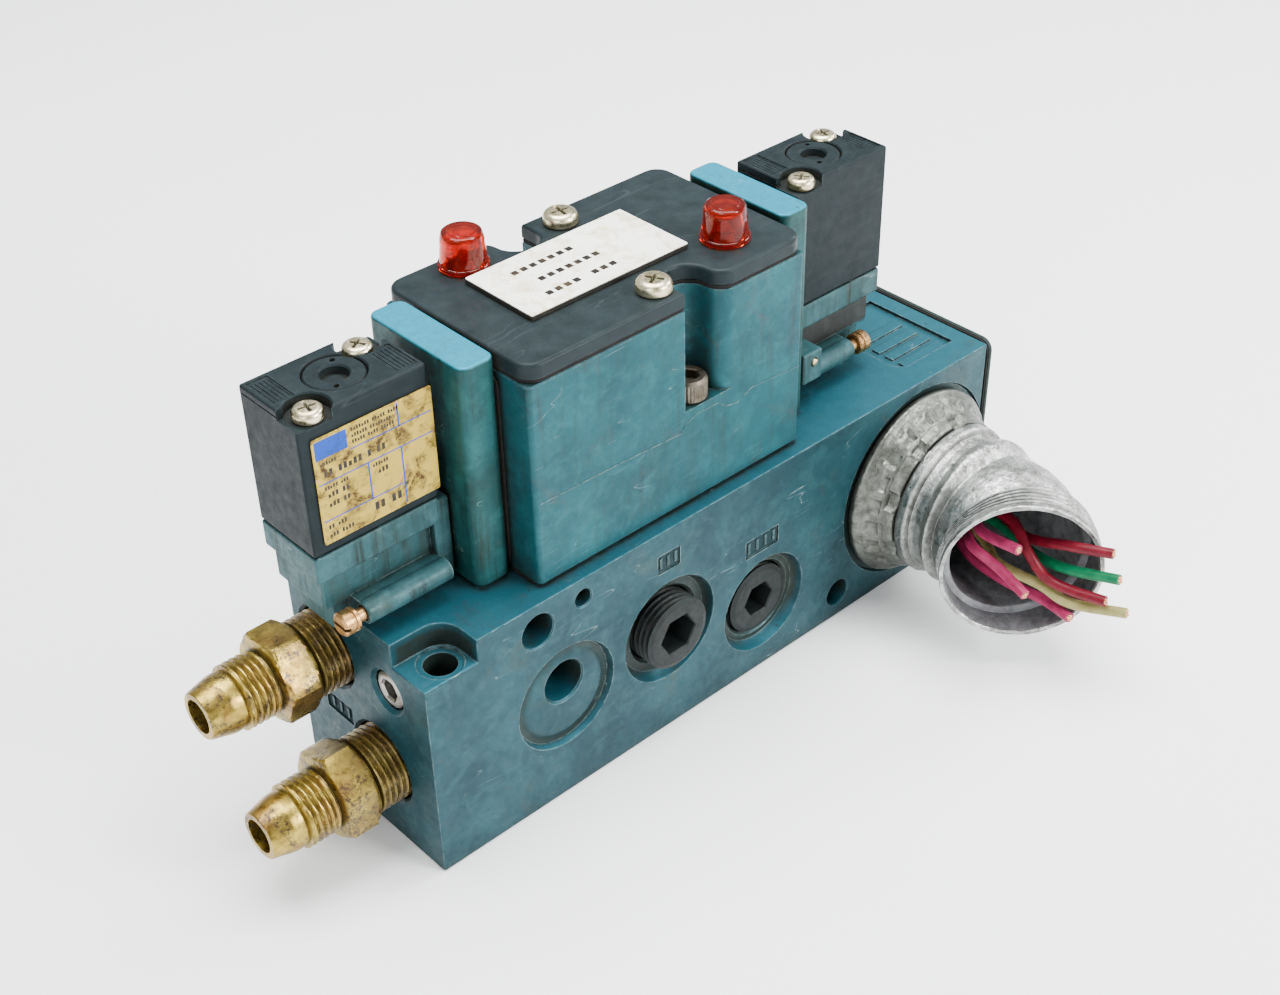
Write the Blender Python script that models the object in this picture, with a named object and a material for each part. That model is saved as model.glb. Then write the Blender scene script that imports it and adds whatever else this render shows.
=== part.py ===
"""Double-solenoid, pilot-operated spool valve on a plug-in manifold base.

Frame: the origin is the middle of the base's underside, +X runs along the base to its
wiring end, -Y is the front with the plugs and the conduit elbow, +Z is up.
All dimensions below are in millimetres and become metres when a mesh is made.
"""
import math

import bmesh
import bpy
from mathutils import Matrix, Vector

MM = 0.001
GAP = 0.3
ROUND = 28
SMALL_ROUND = 16
HIDDEN_ROUND = 12

# Manifold base
BASE_LEFT, BASE_RIGHT = -84.0, 81.7
BASE_FRONT, BASE_BACK = -22.75, 22.75
BASE_TOP = 54.0
NOTCH_RIGHT, NOTCH_BACK, NOTCH_FLOOR, NOTCH_RADIUS = -71.1, -12.45, 48.5, 5.2
MOUNT_HOLE = (-76.4, -17.75, 3.4)
END_PLATE_RADIUS = 3.0
GASKET_THICK, COVER_THICK = 0.5, 1.2
COVER_FIXINGS = ((-19.6, 5.0), (19.6, 49.0))
CHAMBER_X, CHAMBER_Y, CHAMBER_Z = 39.0, 16.5, (8.0, 46.0)
CHANNEL_X, CHANNEL_Y, CHANNEL_Z = (8.5, 41.0), 6.0, (30.0, 44.8)
SOCKET_WINDOW_X, SOCKET_WINDOW_Y = (10.0, 19.0), 8.5
PANEL_X, PANEL_Y, PANEL_DEPTH = (58.5, 77.0), (-16.0, 9.6), 0.8
PANEL_RIB_Y, PANEL_RIB_X = (-14.5, -10.3, -6.4, -1.6), (63.0, 73.5)

# Ports: x and z on the front face, or y and z on the left end face
INLET, INLET_COUNTERBORE = (-20.7, 27.3), 12.9
EXHAUST, EXHAUST_COUNTERBORE = (8.0, 18.2), 12.3
PLUG_RADIUS, PORT_RADIUS, PORT_DEPTH = 8.57, 8.95, 16.0
INLET_PLUG_PROUD, EXHAUST_PLUG_SUNK = 2.6, 1.6
COUNTERBORE_DEPTH = 1.4
INLET_HEX, EXHAUST_HEX, HEX_DEPTH = 4.9, 4.3, 6.0
BLANK_DISC, BLANK_DISC_RADIUS = (-49.7, 26.5), 12.6
BLANK_DRILLING = (-49.7, 29.9, 4.9)
FRONT_HOLES = ((-56.1, 47.4, 3.95), (-44.2, 49.1, 2.05))
CROSS_HOLE = (33.0, 6.8, 3.4)
INLET_PAD, EXHAUST_PAD, PAD_DEPTH = (-20.8, 45.8, 6.3, 4.7), (7.0, 35.6, 10.1, 4.7), 0.5
END_PAD_Y, END_PAD_Z = (4.6, 13.6), (21.8, 26.4)
FLOW_SCREW, FLOW_SCREW_RADIUS = (-9.6, 40.5), 4.3
FITTINGS = {"upper": (11.15, 39.2), "lower": (-4.65, 18.3)}

# Conduit elbow
ELBOW_X, ELBOW_Z = 58.4, 27.0
SPOTFACE_RADIUS, SPOTFACE_DEPTH, HUB_RADIUS = 24.4, 0.8, 15.6
BEND_START, BEND_RADIUS, BEND_ANGLE = 17.3, 29.0, math.radians(45)
BEND_LENGTH = BEND_RADIUS * BEND_ANGLE
OUTLET = BEND_START + BEND_LENGTH + 2.5

# Main valve
VALVE_X, VALVE_Y = -15.8, 2.25
BODY_HALF_X, BODY_HALF_Y = 36.6, 21.8
BODY_BOTTOM, BODY_TOP, BODY_CORNER = 54.9, 100.7, 3.5
COVER_TOP, COVER_PLATE_THICK, COVER_GASKET_THICK = 104.9, 3.15, 0.5
BORE_Z, BORE_RADIUS, PISTON_BORE, PISTON_BORE_DEPTH = 72.5, 8.0, 11.2, 6.0
SPOOL_RADIUS, SPOOL_NECK, SPOOL_HALF = 7.4, 4.6, 34.0
PISTON_RADIUS, PISTON_LENGTH, PISTON_START = 10.4, 6.0, 34.4
CAP_INNER, CAP_OUTER, CAP_TOP, CAP_Y = 37.7, 45.9, 105.4, (-12.45, 16.55)
CAP_POCKET_END = 44.1
SLOT_RADIUS, SLOT_FLOOR = 4.75, 77.4
FRONT_SLOT, REAR_SLOT = (-8.2, -15.5), (-22.1, 19.85)
BOLT_HEAD_RADIUS, BOLT_HEAD_HEIGHT, BOLT_RADIUS, BOLT_END = 3.95, 4.8, 2.3, 42.0
COVER_SCREWS = {"front": (-16.6, -14.85), "rear": (-11.4, 18.6)}
COVER_SCREW_HEAD, COVER_SCREW_HEIGHT, COVER_SCREW_RADIUS = 4.15, 2.6, 2.0
LENSES = {"left": (-36.7, 18.3), "right": (7.6, -9.75)}
LENS_BASE_RADIUS, LENS_TOP_RADIUS, LENS_HEIGHT, LENS_HOLE = 5.2, 4.2, 8.1, 4.2
PLATE_X, PLATE_Y, PLATE_THICK = (-41.0, -0.3), (-7.6, 12.8), 1.0
PIN_BLOCK_X, PIN_BLOCK_Y = (10.6, 18.4), 7.6

# Pilots, given for a centre line at PILOT_REACH from the valve's centre
PILOT_REACH, PILOT_Y = 62.9, 3.3
HOUSING_HALF_X, HOUSING_HALF_Y = 14.2, 8.95
HOUSING_BOTTOM, HOUSING_TOP = 75.8, 105.6
CORE_SHIFT = (0.6, 0.3)
COIL_CAVITY, COIL_OUTER, COIL_INNER = 7.6, 7.2, 4.5
CORE_DISC_RADIUS, CORE_RADIUS, CORE_END = 5.85, 4.1, 91.3
ARMATURE_RADIUS, ARMATURE_NECK, ARMATURE_Z = 3.9, 2.3, (71.2, 84.0, 90.2)
SPRING_RADIUS, SPRING_WIRE, SPRING_TURNS, SPRING_STEPS = 3.15, 0.3, 4, 8
PILOT_SCREW, SCREW_NOTCH, SCREW_NOTCH_FLOOR = (9.4, 5.6), (2.4, 2.75), 103.0
PILOT_SCREW_HEAD, PILOT_SCREW_HEIGHT, PILOT_SCREW_RADIUS = 3.4, 2.2, 1.5
PILOT_BASE_TOP, PILOT_STEP_1, PILOT_STEP_2, PILOT_FOOT = 75.5, 69.5, 61.5, 55.6
BARREL_Y, BARREL_Z, BARREL_RADIUS, BARREL_BORE = -7.6, 60.2, 2.45, 1.7
OPERATOR_HEAD, OPERATOR_STEM, OPERATOR_GAP, OPERATOR_HEAD_LENGTH = 2.55, 1.4, 1.9, 3.6
BARREL_END = {"left": -85.6, "right": 49.6}
PILOT_FLANGE = {"left": (4.2, 0.1), "right": (3.4, 0.3)}
LUG_SIDE, LUG_REACH, LUG_FRONT = "right", 6.2, -11.6
LUG_Z = (PILOT_STEP_2 - 1.5, PILOT_STEP_2 + 6.2)
LABEL_X, LABEL_Z, LABEL_THICK = (-90.6, -64.2), (77.9, 100.9), 0.15

# Lead wires: (distance along the elbow's centre line, across, up), mouth at OUTLET
WIRE_RADIUS = 1.2
WIRE_ROUTES = {
    "red_upper": ((-14, 3.0, 1.8), (8, 3.0, 1.8), (24, 1.6, 2.6), (33.8, 2.6, 2.9),
                  (42.6, 9.6, 7.6), (47.6, 18.0, 9.4)),
    "red_curved": ((-14, 0.0, 3.5), (8, 0.0, 3.6), (22, -2.0, 6.0), (32.6, -0.3, 6.7),
                   (39.6, 1.3, 3.7), (42.6, 5.1, -0.9), (46.2, 10.2, -1.8), (51.2, 17.0, -0.8)),
    "green": ((-14, 0.0, 0.0), (8, 0.0, 0.0), (24, 1.9, -0.8), (34.6, 4.0, -0.9),
              (42.6, 9.2, 1.4), (50.6, 19.4, 4.7)),
    "cream": ((-14, 3.0, -1.8), (8, 2.8, -2.8), (24, -1.6, -4.6), (34.6, -3.6, -3.1),
              (41.4, 4.5, -4.1), (46.8, 10.5, -5.0), (52.6, 21.6, -2.9)),
    "pink_short": ((-14, -3.0, 1.8), (8, -3.2, 1.9), (22, -6.0, 4.4), (34.6, -7.7, 5.9),
                   (44.6, -1.7, 7.9)),
    "pink": ((-14, -3.0, -1.8), (8, -3.2, -1.7), (22, -7.0, 0.4), (34.0, -9.8, 2.2),
             (40.6, -4.5, -0.6), (47.6, 0.3, -2.2)),
    "pink_lower": ((-14, 0.0, -3.5), (8, -0.6, -4.2), (22, -4.6, -8.0), (34.0, -1.6, -8.6),
                   (41.0, 6.0, -8.9), (48.6, 10.4, -7.6)),
}

# Colour, metallic, roughness
FINISHES = {
    "base_anodised": ((0.035, 0.150, 0.190), 0.6, 0.45),
    "body_painted": ((0.060, 0.250, 0.280), 0.4, 0.5),
    "cap_painted": ((0.110, 0.420, 0.520), 0.2, 0.45),
    "black_plastic": ((0.020, 0.024, 0.028), 0.0, 0.5),
    "lens_red": ((0.750, 0.080, 0.020), 0.0, 0.15),
    "plate_cream": ((0.750, 0.680, 0.520), 0.0, 0.5),
    "zinc_screw": ((0.520, 0.480, 0.360), 1.0, 0.35),
    "dark_steel": ((0.060, 0.060, 0.062), 1.0, 0.45),
    "brass": ((0.480, 0.330, 0.120), 1.0, 0.35),
    "cast_zinc": ((0.330, 0.330, 0.320), 1.0, 0.45),
    "gasket_rubber": ((0.020, 0.020, 0.020), 0.0, 0.8),
    "copper": ((0.450, 0.160, 0.060), 1.0, 0.4),
    "steel": ((0.450, 0.450, 0.460), 1.0, 0.3),
    "wire_red": ((0.500, 0.040, 0.060), 0.0, 0.45),
    "wire_pink": ((0.520, 0.060, 0.120), 0.0, 0.45),
    "wire_green": ((0.000, 0.260, 0.110), 0.0, 0.45),
    "wire_cream": ((0.420, 0.400, 0.220), 0.0, 0.5),
}


def clear_scene():
    for thing in list(bpy.data.objects):
        bpy.data.objects.remove(thing, do_unlink=True)


def finish_material(name):
    material = bpy.data.materials.get(name)
    if material is None:
        colour, metallic, roughness = FINISHES[name]
        material = bpy.data.materials.new(name)
        material.use_nodes = True
        shader = material.node_tree.nodes["Principled BSDF"]
        shader.inputs["Base Color"].default_value = (*colour, 1.0)
        shader.inputs["Metallic"].default_value = metallic
        shader.inputs["Roughness"].default_value = roughness
    return material


def add_object(name, bm, finish=None, origin=(0, 0, 0)):
    """Turn a millimetre bmesh into an object in metres whose origin is given in mm."""
    bmesh.ops.recalc_face_normals(bm, faces=bm.faces)
    bmesh.ops.transform(bm, matrix=Matrix.Translation(-Vector(origin)), verts=bm.verts)
    bmesh.ops.scale(bm, vec=(MM, MM, MM), verts=bm.verts)
    mesh = bpy.data.meshes.new(name)
    bm.to_mesh(mesh)
    bm.free()
    mesh.shade_smooth()
    mesh.set_sharp_from_angle(angle=math.radians(35))
    thing = bpy.data.objects.new(name, mesh)
    thing.location = Vector(origin) * MM
    bpy.context.collection.objects.link(thing)
    if finish:
        mesh.materials.append(finish_material(finish))
    return thing


def boolean(target, operation, *tools):
    for number, bm in enumerate(tools):
        tool = add_object(f"{operation.lower()}_{target.name}_{len(target.modifiers)}", bm)
        tool.hide_render = True
        tool.display_type = "WIRE"
        modifier = target.modifiers.new(f"{operation}_{number}", "BOOLEAN")
        modifier.operation = operation
        modifier.solver = "EXACT"
        modifier.object = tool


def circle(u, v, radius, sides=ROUND):
    turn = 2 * math.pi / sides
    return [(u + radius * math.cos(turn * (i + 0.5)), v + radius * math.sin(turn * (i + 0.5)))
            for i in range(sides)]


def hexagon(u, v, corner_radius, first_angle=0.0):
    return [(u + corner_radius * math.cos(first_angle + i * math.pi / 3),
             v + corner_radius * math.sin(first_angle + i * math.pi / 3)) for i in range(6)]


def rectangle(u0, u1, v0, v1, corner=0.0, steps=4):
    if not corner:
        return [(u0, v0), (u1, v0), (u1, v1), (u0, v1)]
    centres = ((u1 - corner, v0 + corner, -90), (u1 - corner, v1 - corner, 0),
               (u0 + corner, v1 - corner, 90), (u0 + corner, v0 + corner, 180))
    outline = []
    for u, v, start in centres:
        for i in range(steps + 1):
            angle = math.radians(start + 90 * i / steps)
            outline.append((u + corner * math.cos(angle), v + corner * math.sin(angle)))
    return outline


def slot_outline(u, v, radius, face, steps=10, flare_steps=5):
    """A round-ended slot through a face at v = face; one side curves outward to meet it."""
    way = 1 if face < v else -1
    flare = abs(v - face)
    open_to = face - way * 3
    outline = [(u - way * radius, open_to)]
    for i in range(steps + 1):
        angle = math.pi * i / steps
        outline.append((u - way * radius * math.cos(angle), v + way * radius * math.sin(angle)))
    for i in range(1, flare_steps + 1):
        angle = math.pi / 2 * i / flare_steps
        outline.append((u + way * (radius + flare * (1 - math.cos(angle))),
                        v - way * flare * math.sin(angle)))
    outline.append((u + way * (radius + flare), open_to))
    return outline


def place(axis, u, v, along):
    if axis == "X":
        return (along, u, v)
    if axis == "Y":
        return (u, along, v)
    return (u, v, along)


def prism(axis, outline, low, high):
    bm = bmesh.new()
    bottom = [bm.verts.new(place(axis, u, v, low)) for u, v in outline]
    top = [bm.verts.new(place(axis, u, v, high)) for u, v in outline]
    count = len(outline)
    bm.faces.new(bottom)
    bm.faces.new(top)
    for i in range(count):
        j = (i + 1) % count
        bm.faces.new((bottom[i], bottom[j], top[j], top[i]))
    return bm


def turned(axis, u, v, profile, sides=ROUND, closed_loop=False):
    """Turn (along, radius) points about an axis; a radius may be ("hex", corner radius)."""
    bm = bmesh.new()
    rings = []
    for along, radius in profile:
        if radius == 0:
            rings.append([bm.verts.new(place(axis, u, v, along))])
            continue
        ring = []
        for i in range(sides):
            angle = 2 * math.pi * i / sides
            if isinstance(radius, tuple):
                flat = radius[1] * math.cos(math.pi / 6)
                reach = flat / math.cos((angle % (math.pi / 3)) - math.pi / 6)
            else:
                reach = radius
            ring.append(bm.verts.new(place(axis, u + reach * math.cos(angle),
                                           v + reach * math.sin(angle), along)))
        rings.append(ring)
    pairs = list(zip(rings, rings[1:]))
    if closed_loop:
        pairs.append((rings[-1], rings[0]))
    for first, second in pairs:
        for i in range(sides):
            j = (i + 1) % sides
            corners = [first[i % len(first)], first[j % len(first)],
                       second[j % len(second)], second[i % len(second)]]
            bm.faces.new(list(dict.fromkeys(corners)))
    return bm


def box(x0, x1, y0, y1, z0, z1):
    return prism("Z", rectangle(x0, x1, y0, y1), z0, z1)


# ---------------------------------------------------------------- manifold base

def manifold_base():
    outline = [(NOTCH_RIGHT, BASE_FRONT), (BASE_RIGHT, BASE_FRONT), (BASE_RIGHT, BASE_BACK),
               (BASE_LEFT, BASE_BACK), (BASE_LEFT, BASE_FRONT)]
    base = add_object("manifold_base", prism("Z", outline, 0, BASE_TOP), "base_anodised")
    corner_u, corner_v = NOTCH_RIGHT - NOTCH_RADIUS, NOTCH_BACK - NOTCH_RADIUS
    notch = [(BASE_LEFT - 1, BASE_FRONT - 1), (NOTCH_RIGHT, BASE_FRONT - 1)]
    for i in range(7):
        angle = math.radians(90 * i / 6)
        notch.append((corner_u + NOTCH_RADIUS * math.cos(angle),
                      corner_v + NOTCH_RADIUS * math.sin(angle)))
    notch.append((BASE_LEFT - 1, NOTCH_BACK))
    cuts = [prism("Z", circle(*MOUNT_HOLE, SMALL_ROUND + 2), -1, BASE_TOP + 2),
            prism("Z", notch, NOTCH_FLOOR, BASE_TOP + 1)]
    front = BASE_FRONT - 1
    for (x, z), counterbore in ((INLET, INLET_COUNTERBORE), (EXHAUST, EXHAUST_COUNTERBORE)):
        cuts.append(prism("Y", circle(x, z, counterbore), front, BASE_FRONT + COUNTERBORE_DEPTH))
        cuts.append(prism("Y", circle(x, z, PORT_RADIUS), front, BASE_FRONT + PORT_DEPTH))
    cuts.append(prism("Y", circle(*BLANK_DISC, BLANK_DISC_RADIUS), front, BASE_FRONT + 0.9))
    cuts.append(prism("Y", circle(*BLANK_DRILLING, SMALL_ROUND), front, BASE_FRONT + 9))
    for x, z, radius in FRONT_HOLES:
        cuts.append(prism("Y", circle(x, z, radius, SMALL_ROUND), front, BASE_FRONT + 9))
    cuts.append(prism("Y", circle(*CROSS_HOLE, SMALL_ROUND), front, BASE_BACK + 1))
    for x, z, wide, high in (INLET_PAD, EXHAUST_PAD):
        pad = rectangle(x - wide / 2, x + wide / 2, z - high / 2, z + high / 2)
        cuts.append(prism("Y", pad, front, BASE_FRONT + PAD_DEPTH))
    left = BASE_LEFT - 1
    cuts.append(box(left, BASE_LEFT + PAD_DEPTH, *END_PAD_Y, *END_PAD_Z))
    cuts.append(prism("X", circle(*FLOW_SCREW, FLOW_SCREW_RADIUS + GAP, SMALL_ROUND), left, -74))
    for y, z in FITTINGS.values():
        cuts.append(prism("X", circle(y, z, PORT_RADIUS), left, BASE_LEFT + 13))
    cuts.append(prism("Y", circle(ELBOW_X, ELBOW_Z, SPOTFACE_RADIUS, 36), front,
                      BASE_FRONT + SPOTFACE_DEPTH))
    cuts.append(prism("Y", circle(ELBOW_X, ELBOW_Z, HUB_RADIUS + 0.35), front, -CHAMBER_Y + 2))
    cuts.append(box(CHAMBER_X, BASE_RIGHT + 1, -CHAMBER_Y, CHAMBER_Y, *CHAMBER_Z))
    cuts.append(box(*CHANNEL_X, -CHANNEL_Y, CHANNEL_Y, *CHANNEL_Z))
    cuts.append(box(*SOCKET_WINDOW_X, -SOCKET_WINDOW_Y, SOCKET_WINDOW_Y, CHANNEL_Z[1] - 4,
                    BASE_TOP + 1))
    for x, y in (FRONT_SLOT, REAR_SLOT):
        cuts.append(prism("Z", circle(x, y, BOLT_RADIUS + GAP, HIDDEN_ROUND), BOLT_END - 1, BASE_TOP + 1))
    panel = [(62.0, PANEL_Y[0]), (PANEL_X[1], PANEL_Y[0]), (PANEL_X[1], PANEL_Y[1]),
             (PANEL_X[0], PANEL_Y[1]), (PANEL_X[0], -12.5)]
    cuts.append(prism("Z", panel, BASE_TOP - PANEL_DEPTH, BASE_TOP + 1))
    boolean(base, "DIFFERENCE", *cuts)
    ribs = [box(*PANEL_RIB_X, y - 0.5, y + 0.5, BASE_TOP - PANEL_DEPTH - 1, BASE_TOP - 0.1)
            for y in PANEL_RIB_Y]
    boolean(base, "UNION", *ribs)


def end_plates():
    outline = rectangle(BASE_FRONT, BASE_BACK, 0, BASE_TOP, END_PLATE_RADIUS)
    gasket_start = BASE_RIGHT + GAP
    add_object("end_gasket", prism("X", outline, gasket_start, gasket_start + GASKET_THICK),
               "gasket_rubber")
    window = rectangle(-CHAMBER_Y, CHAMBER_Y, *CHAMBER_Z)
    boolean(bpy.data.objects["end_gasket"], "DIFFERENCE",
            prism("X", window, gasket_start - 1, gasket_start + 2))
    cover_start = gasket_start + GASKET_THICK + GAP
    add_object("end_cover", prism("X", outline, cover_start, cover_start + COVER_THICK),
               "black_plastic")
    for number, (y, z) in enumerate(COVER_FIXINGS, start=1):
        for name in ("manifold_base", "end_gasket", "end_cover"):
            boolean(bpy.data.objects[name], "DIFFERENCE",
                    prism("X", circle(y, z, 1.8, HIDDEN_ROUND), BASE_RIGHT - 9, cover_start + 3))
        face = cover_start + COVER_THICK + GAP
        profile = [(BASE_RIGHT - 7, 0), (BASE_RIGHT - 7, 1.4), (face, 1.4), (face, 2.9),
                   (face + 1.1, 2.6), (face + 1.6, 1.2), (face + 1.6, 0)]
        add_object(f"end_cover_screw_{number}", turned("X", y, z, profile, SMALL_ROUND),
                   "zinc_screw")


def pipe_plug(name, place_xz, face_y, hex_radius):
    x, z = place_xz
    rear = BASE_FRONT + PORT_DEPTH - 1
    profile = [(face_y, 0), (face_y, PLUG_RADIUS - 0.8), (face_y + 0.8, PLUG_RADIUS),
               (rear, PLUG_RADIUS - 0.4), (rear, 0)]
    plug = add_object(name, turned("Y", x, z, profile), "dark_steel")
    boolean(plug, "DIFFERENCE", prism("Y", hexagon(x, z, hex_radius, 0.3),
                                      face_y - 1, face_y + HEX_DEPTH))


def flow_screw():
    y, z = FLOW_SCREW
    profile = [(-83.4, 0), (-83.4, FLOW_SCREW_RADIUS - 0.4), (-83.0, FLOW_SCREW_RADIUS),
               (-75, FLOW_SCREW_RADIUS), (-75, 0)]
    screw = add_object("flow_screw", turned("X", y, z, profile, SMALL_ROUND), "dark_steel")
    boolean(screw, "DIFFERENCE", prism("X", hexagon(y, z, 2.4, 0.2), -85, -79.5))


def connector():
    """Socket block fixed in the base's window, and the pin block under the valve body."""
    bottom, top = CHANNEL_Z[1] - 9, BASE_TOP - 0.4
    socket = add_object("socket_block", box(*PIN_BLOCK_X, -5.6, 5.6, bottom, top),
                        "black_plastic")
    for x in (12.6, 16.4):
        for y in (-3.6, 0.0, 3.6):
            boolean(socket, "DIFFERENCE", box(x - 0.9, x + 0.9, y - 0.9, y + 0.9,
                                              top - 5, top + 1))
    pins = add_object("pin_block", box(*PIN_BLOCK_X, -PIN_BLOCK_Y, PIN_BLOCK_Y, 55.4, 61.6),
                      "black_plastic")
    for x in (12.6, 16.4):
        for y in (-3.6, 0.0, 3.6):
            boolean(pins, "UNION", box(x - 0.5, x + 0.5, y - 0.5, y + 0.5, top - 4, 57))


def base_gasket():
    x0, x1 = VALVE_X - BODY_HALF_X, VALVE_X + BODY_HALF_X
    outline = rectangle(x0, x1, -18.8, 22.4, 2.5)
    gasket = add_object("base_gasket", prism("Z", outline, BASE_TOP + 0.25, BASE_TOP + 0.65),
                        "gasket_rubber")
    window = box(*SOCKET_WINDOW_X, -SOCKET_WINDOW_Y, SOCKET_WINDOW_Y, BASE_TOP - 1, BASE_TOP + 2)
    holes = [prism("Z", circle(x, y, BOLT_RADIUS + GAP, HIDDEN_ROUND), BASE_TOP - 1, BASE_TOP + 2)
             for x, y in (FRONT_SLOT, REAR_SLOT)]
    boolean(gasket, "DIFFERENCE", window, *holes)


# ---------------------------------------------------------------- brass fittings and elbow

def tube_fitting(name, place_yz):
    y, z = place_yz
    nose, face = BASE_LEFT - 29.8, BASE_LEFT
    profile = [(nose, 3.7), (nose, 5.1), (nose + 6.5, 6.3), (nose + 7.6, 6.3), (nose + 8, 7.1),
               (nose + 14.4, 7.1), (nose + 14.8, 6.2), (nose + 15.2, ("hex", 10.4)),
               (face - 6.9, ("hex", 10.4)), (face - 6.5, 7.4), (face - 5.6, PLUG_RADIUS),
               (face + 9, PLUG_RADIUS - 0.4), (face + 11, 7.2), (face + 11, 3.7)]
    add_object(name, turned("X", y, z, profile, 18, closed_loop=True), "brass")


def elbow_frame(along):
    """Centre-line point, outward (across) direction and tangent, from the base's face."""
    if along <= BEND_START:
        return Vector((ELBOW_X, BASE_FRONT - along, ELBOW_Z)), Vector((1, 0, 0))
    turn = min(along - BEND_START, BEND_LENGTH) / BEND_RADIUS
    centre = Vector((ELBOW_X - BEND_RADIUS, BASE_FRONT - BEND_START, ELBOW_Z))
    across = Vector((math.cos(turn), -math.sin(turn), 0))
    tangent = Vector((-math.sin(turn), -math.cos(turn), 0))
    rest = max(0.0, along - BEND_START - BEND_LENGTH)
    return centre + across * BEND_RADIUS + tangent * rest, across


def elbow_point(along, across, up):
    point, outward = elbow_frame(along)
    return point + outward * across + Vector((0, 0, up))


def swept_ring(stations, sides):
    """Closed tube wall: (along, radius) stations out along the bend and back inside."""
    bm = bmesh.new()
    rings = []
    for along, radius in stations:
        rings.append([bm.verts.new(elbow_point(along, radius * math.cos(2 * math.pi * i / sides),
                                               radius * math.sin(2 * math.pi * i / sides)))
                      for i in range(sides)])
    for first, second in zip(rings, rings[1:] + rings[:1]):
        for i in range(sides):
            j = (i + 1) % sides
            bm.faces.new((first[i], first[j], second[j], second[i]))
    return bm


def conduit_elbow():
    outer = [(-7.8, HUB_RADIUS), (9.3, HUB_RADIUS), (9.3, 18.4), (12.6, 18.4), (12.8, 17.0),
             (16.0, 17.2), (17.6, 17.9), (20.2, 17.7), (22.0, 16.5), (25.0, 17.2), (28.5, 17.9),
             (32.0, 17.9), (34.4, 17.2), (35.2, 18.1), (OUTLET, 18.1)]
    inner = [(OUTLET, 17.0), (36.6, 16.6), (35.6, 15.2), (28, 14.8), (20, 14.0), (12, 13.4),
             (-7.8, 13.4)]
    add_object("conduit_elbow", swept_ring(outer + inner, 30), "cast_zinc")


def elbow_locknut():
    low = -SPOTFACE_DEPTH + GAP
    outline = [(low, HUB_RADIUS + 0.35), (low, 21.6), (low + 0.8, 22.4), (2.2, 22.4), (3.2, 21.4),
               (7.4, 19.6), (9.0, 18.6), (9.0, HUB_RADIUS + 0.35)]
    add_object("elbow_locknut", swept_ring(outline, 36), "cast_zinc")


def smooth_route(points, per_span=3):
    """Catmull-Rom curve through the route's own points."""
    padded = [2 * points[0] - points[1], *points, 2 * points[-1] - points[-2]]
    route = []
    for a, b, c, d in zip(padded, padded[1:], padded[2:], padded[3:]):
        for i in range(per_span):
            t = i / per_span
            route.append(0.5 * (2 * b + (c - a) * t + (2 * a - 5 * b + 4 * c - d) * t ** 2
                                + (3 * b - a - 3 * c + d) * t ** 3))
    route.append(points[-1])
    return route


def lead_wire(name, route):
    points = smooth_route([elbow_point(*place) for place in route])
    curve = bpy.data.curves.new(f"wire_{name}", "CURVE")
    curve.dimensions = "3D"
    curve.bevel_depth = WIRE_RADIUS * MM
    curve.bevel_resolution = 2
    curve.use_fill_caps = True
    spline = curve.splines.new("POLY")
    spline.points.add(len(points) - 1)
    for slot, point in zip(spline.points, points):
        slot.co = (*(point * MM), 1.0)
    curve.materials.append(finish_material("wire_" + name.split("_")[0]))
    wire = bpy.data.objects.new(f"wire_{name}", curve)
    bpy.context.collection.objects.link(wire)


# ---------------------------------------------------------------- main valve

def slot_cutters(bottom):
    front = slot_outline(*FRONT_SLOT, SLOT_RADIUS, VALVE_Y - BODY_HALF_Y)
    rear = slot_outline(*REAR_SLOT, SLOT_RADIUS, VALVE_Y + BODY_HALF_Y)
    return [prism("Z", front, bottom, COVER_TOP + 2), prism("Z", rear, bottom, COVER_TOP + 2)]


def valve_outline(corner):
    return rectangle(VALVE_X - BODY_HALF_X, VALVE_X + BODY_HALF_X, VALVE_Y - BODY_HALF_Y,
                     VALVE_Y + BODY_HALF_Y, corner)


def valve_body():
    body = add_object("valve_body", prism("Z", valve_outline(BODY_CORNER), BODY_BOTTOM, BODY_TOP),
                      "body_painted")
    left, right = VALVE_X - BODY_HALF_X, VALVE_X + BODY_HALF_X
    cuts = slot_cutters(SLOT_FLOOR)
    cuts.append(prism("X", circle(VALVE_Y, BORE_Z, BORE_RADIUS, HIDDEN_ROUND), left - 1, right + 1))
    piston_bore = circle(VALVE_Y, BORE_Z, PISTON_BORE, HIDDEN_ROUND)
    cuts.append(prism("X", piston_bore, left - 1, left + PISTON_BORE_DEPTH))
    cuts.append(prism("X", piston_bore, right - PISTON_BORE_DEPTH, right + 1))
    for x, y in (FRONT_SLOT, REAR_SLOT):
        cuts.append(prism("Z", circle(x, y, BOLT_RADIUS + GAP, HIDDEN_ROUND), BODY_BOTTOM - 1,
                          SLOT_FLOOR + 1))
    for x, y in COVER_SCREWS.values():
        cuts.append(prism("Z", circle(x, y, COVER_SCREW_RADIUS + GAP, HIDDEN_ROUND), 91.0, BODY_TOP + 1))
    cuts.append(box(PIN_BLOCK_X[0] - GAP, PIN_BLOCK_X[1] + GAP, -PIN_BLOCK_Y - GAP,
                    PIN_BLOCK_Y + GAP, BODY_BOTTOM - 1, 62.0))
    for step in range(4):
        x = VALVE_X - 20 + 11 * step
        cuts.append(prism("Z", circle(x, 0.0, 3.4, HIDDEN_ROUND), BODY_BOTTOM - 1, BORE_Z - 4))
    for x, y in LENSES.values():
        cuts.append(prism("Z", circle(x, y, 4.0, HIDDEN_ROUND), 90.0, BODY_TOP + 1))
    boolean(body, "DIFFERENCE", *cuts)


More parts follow.
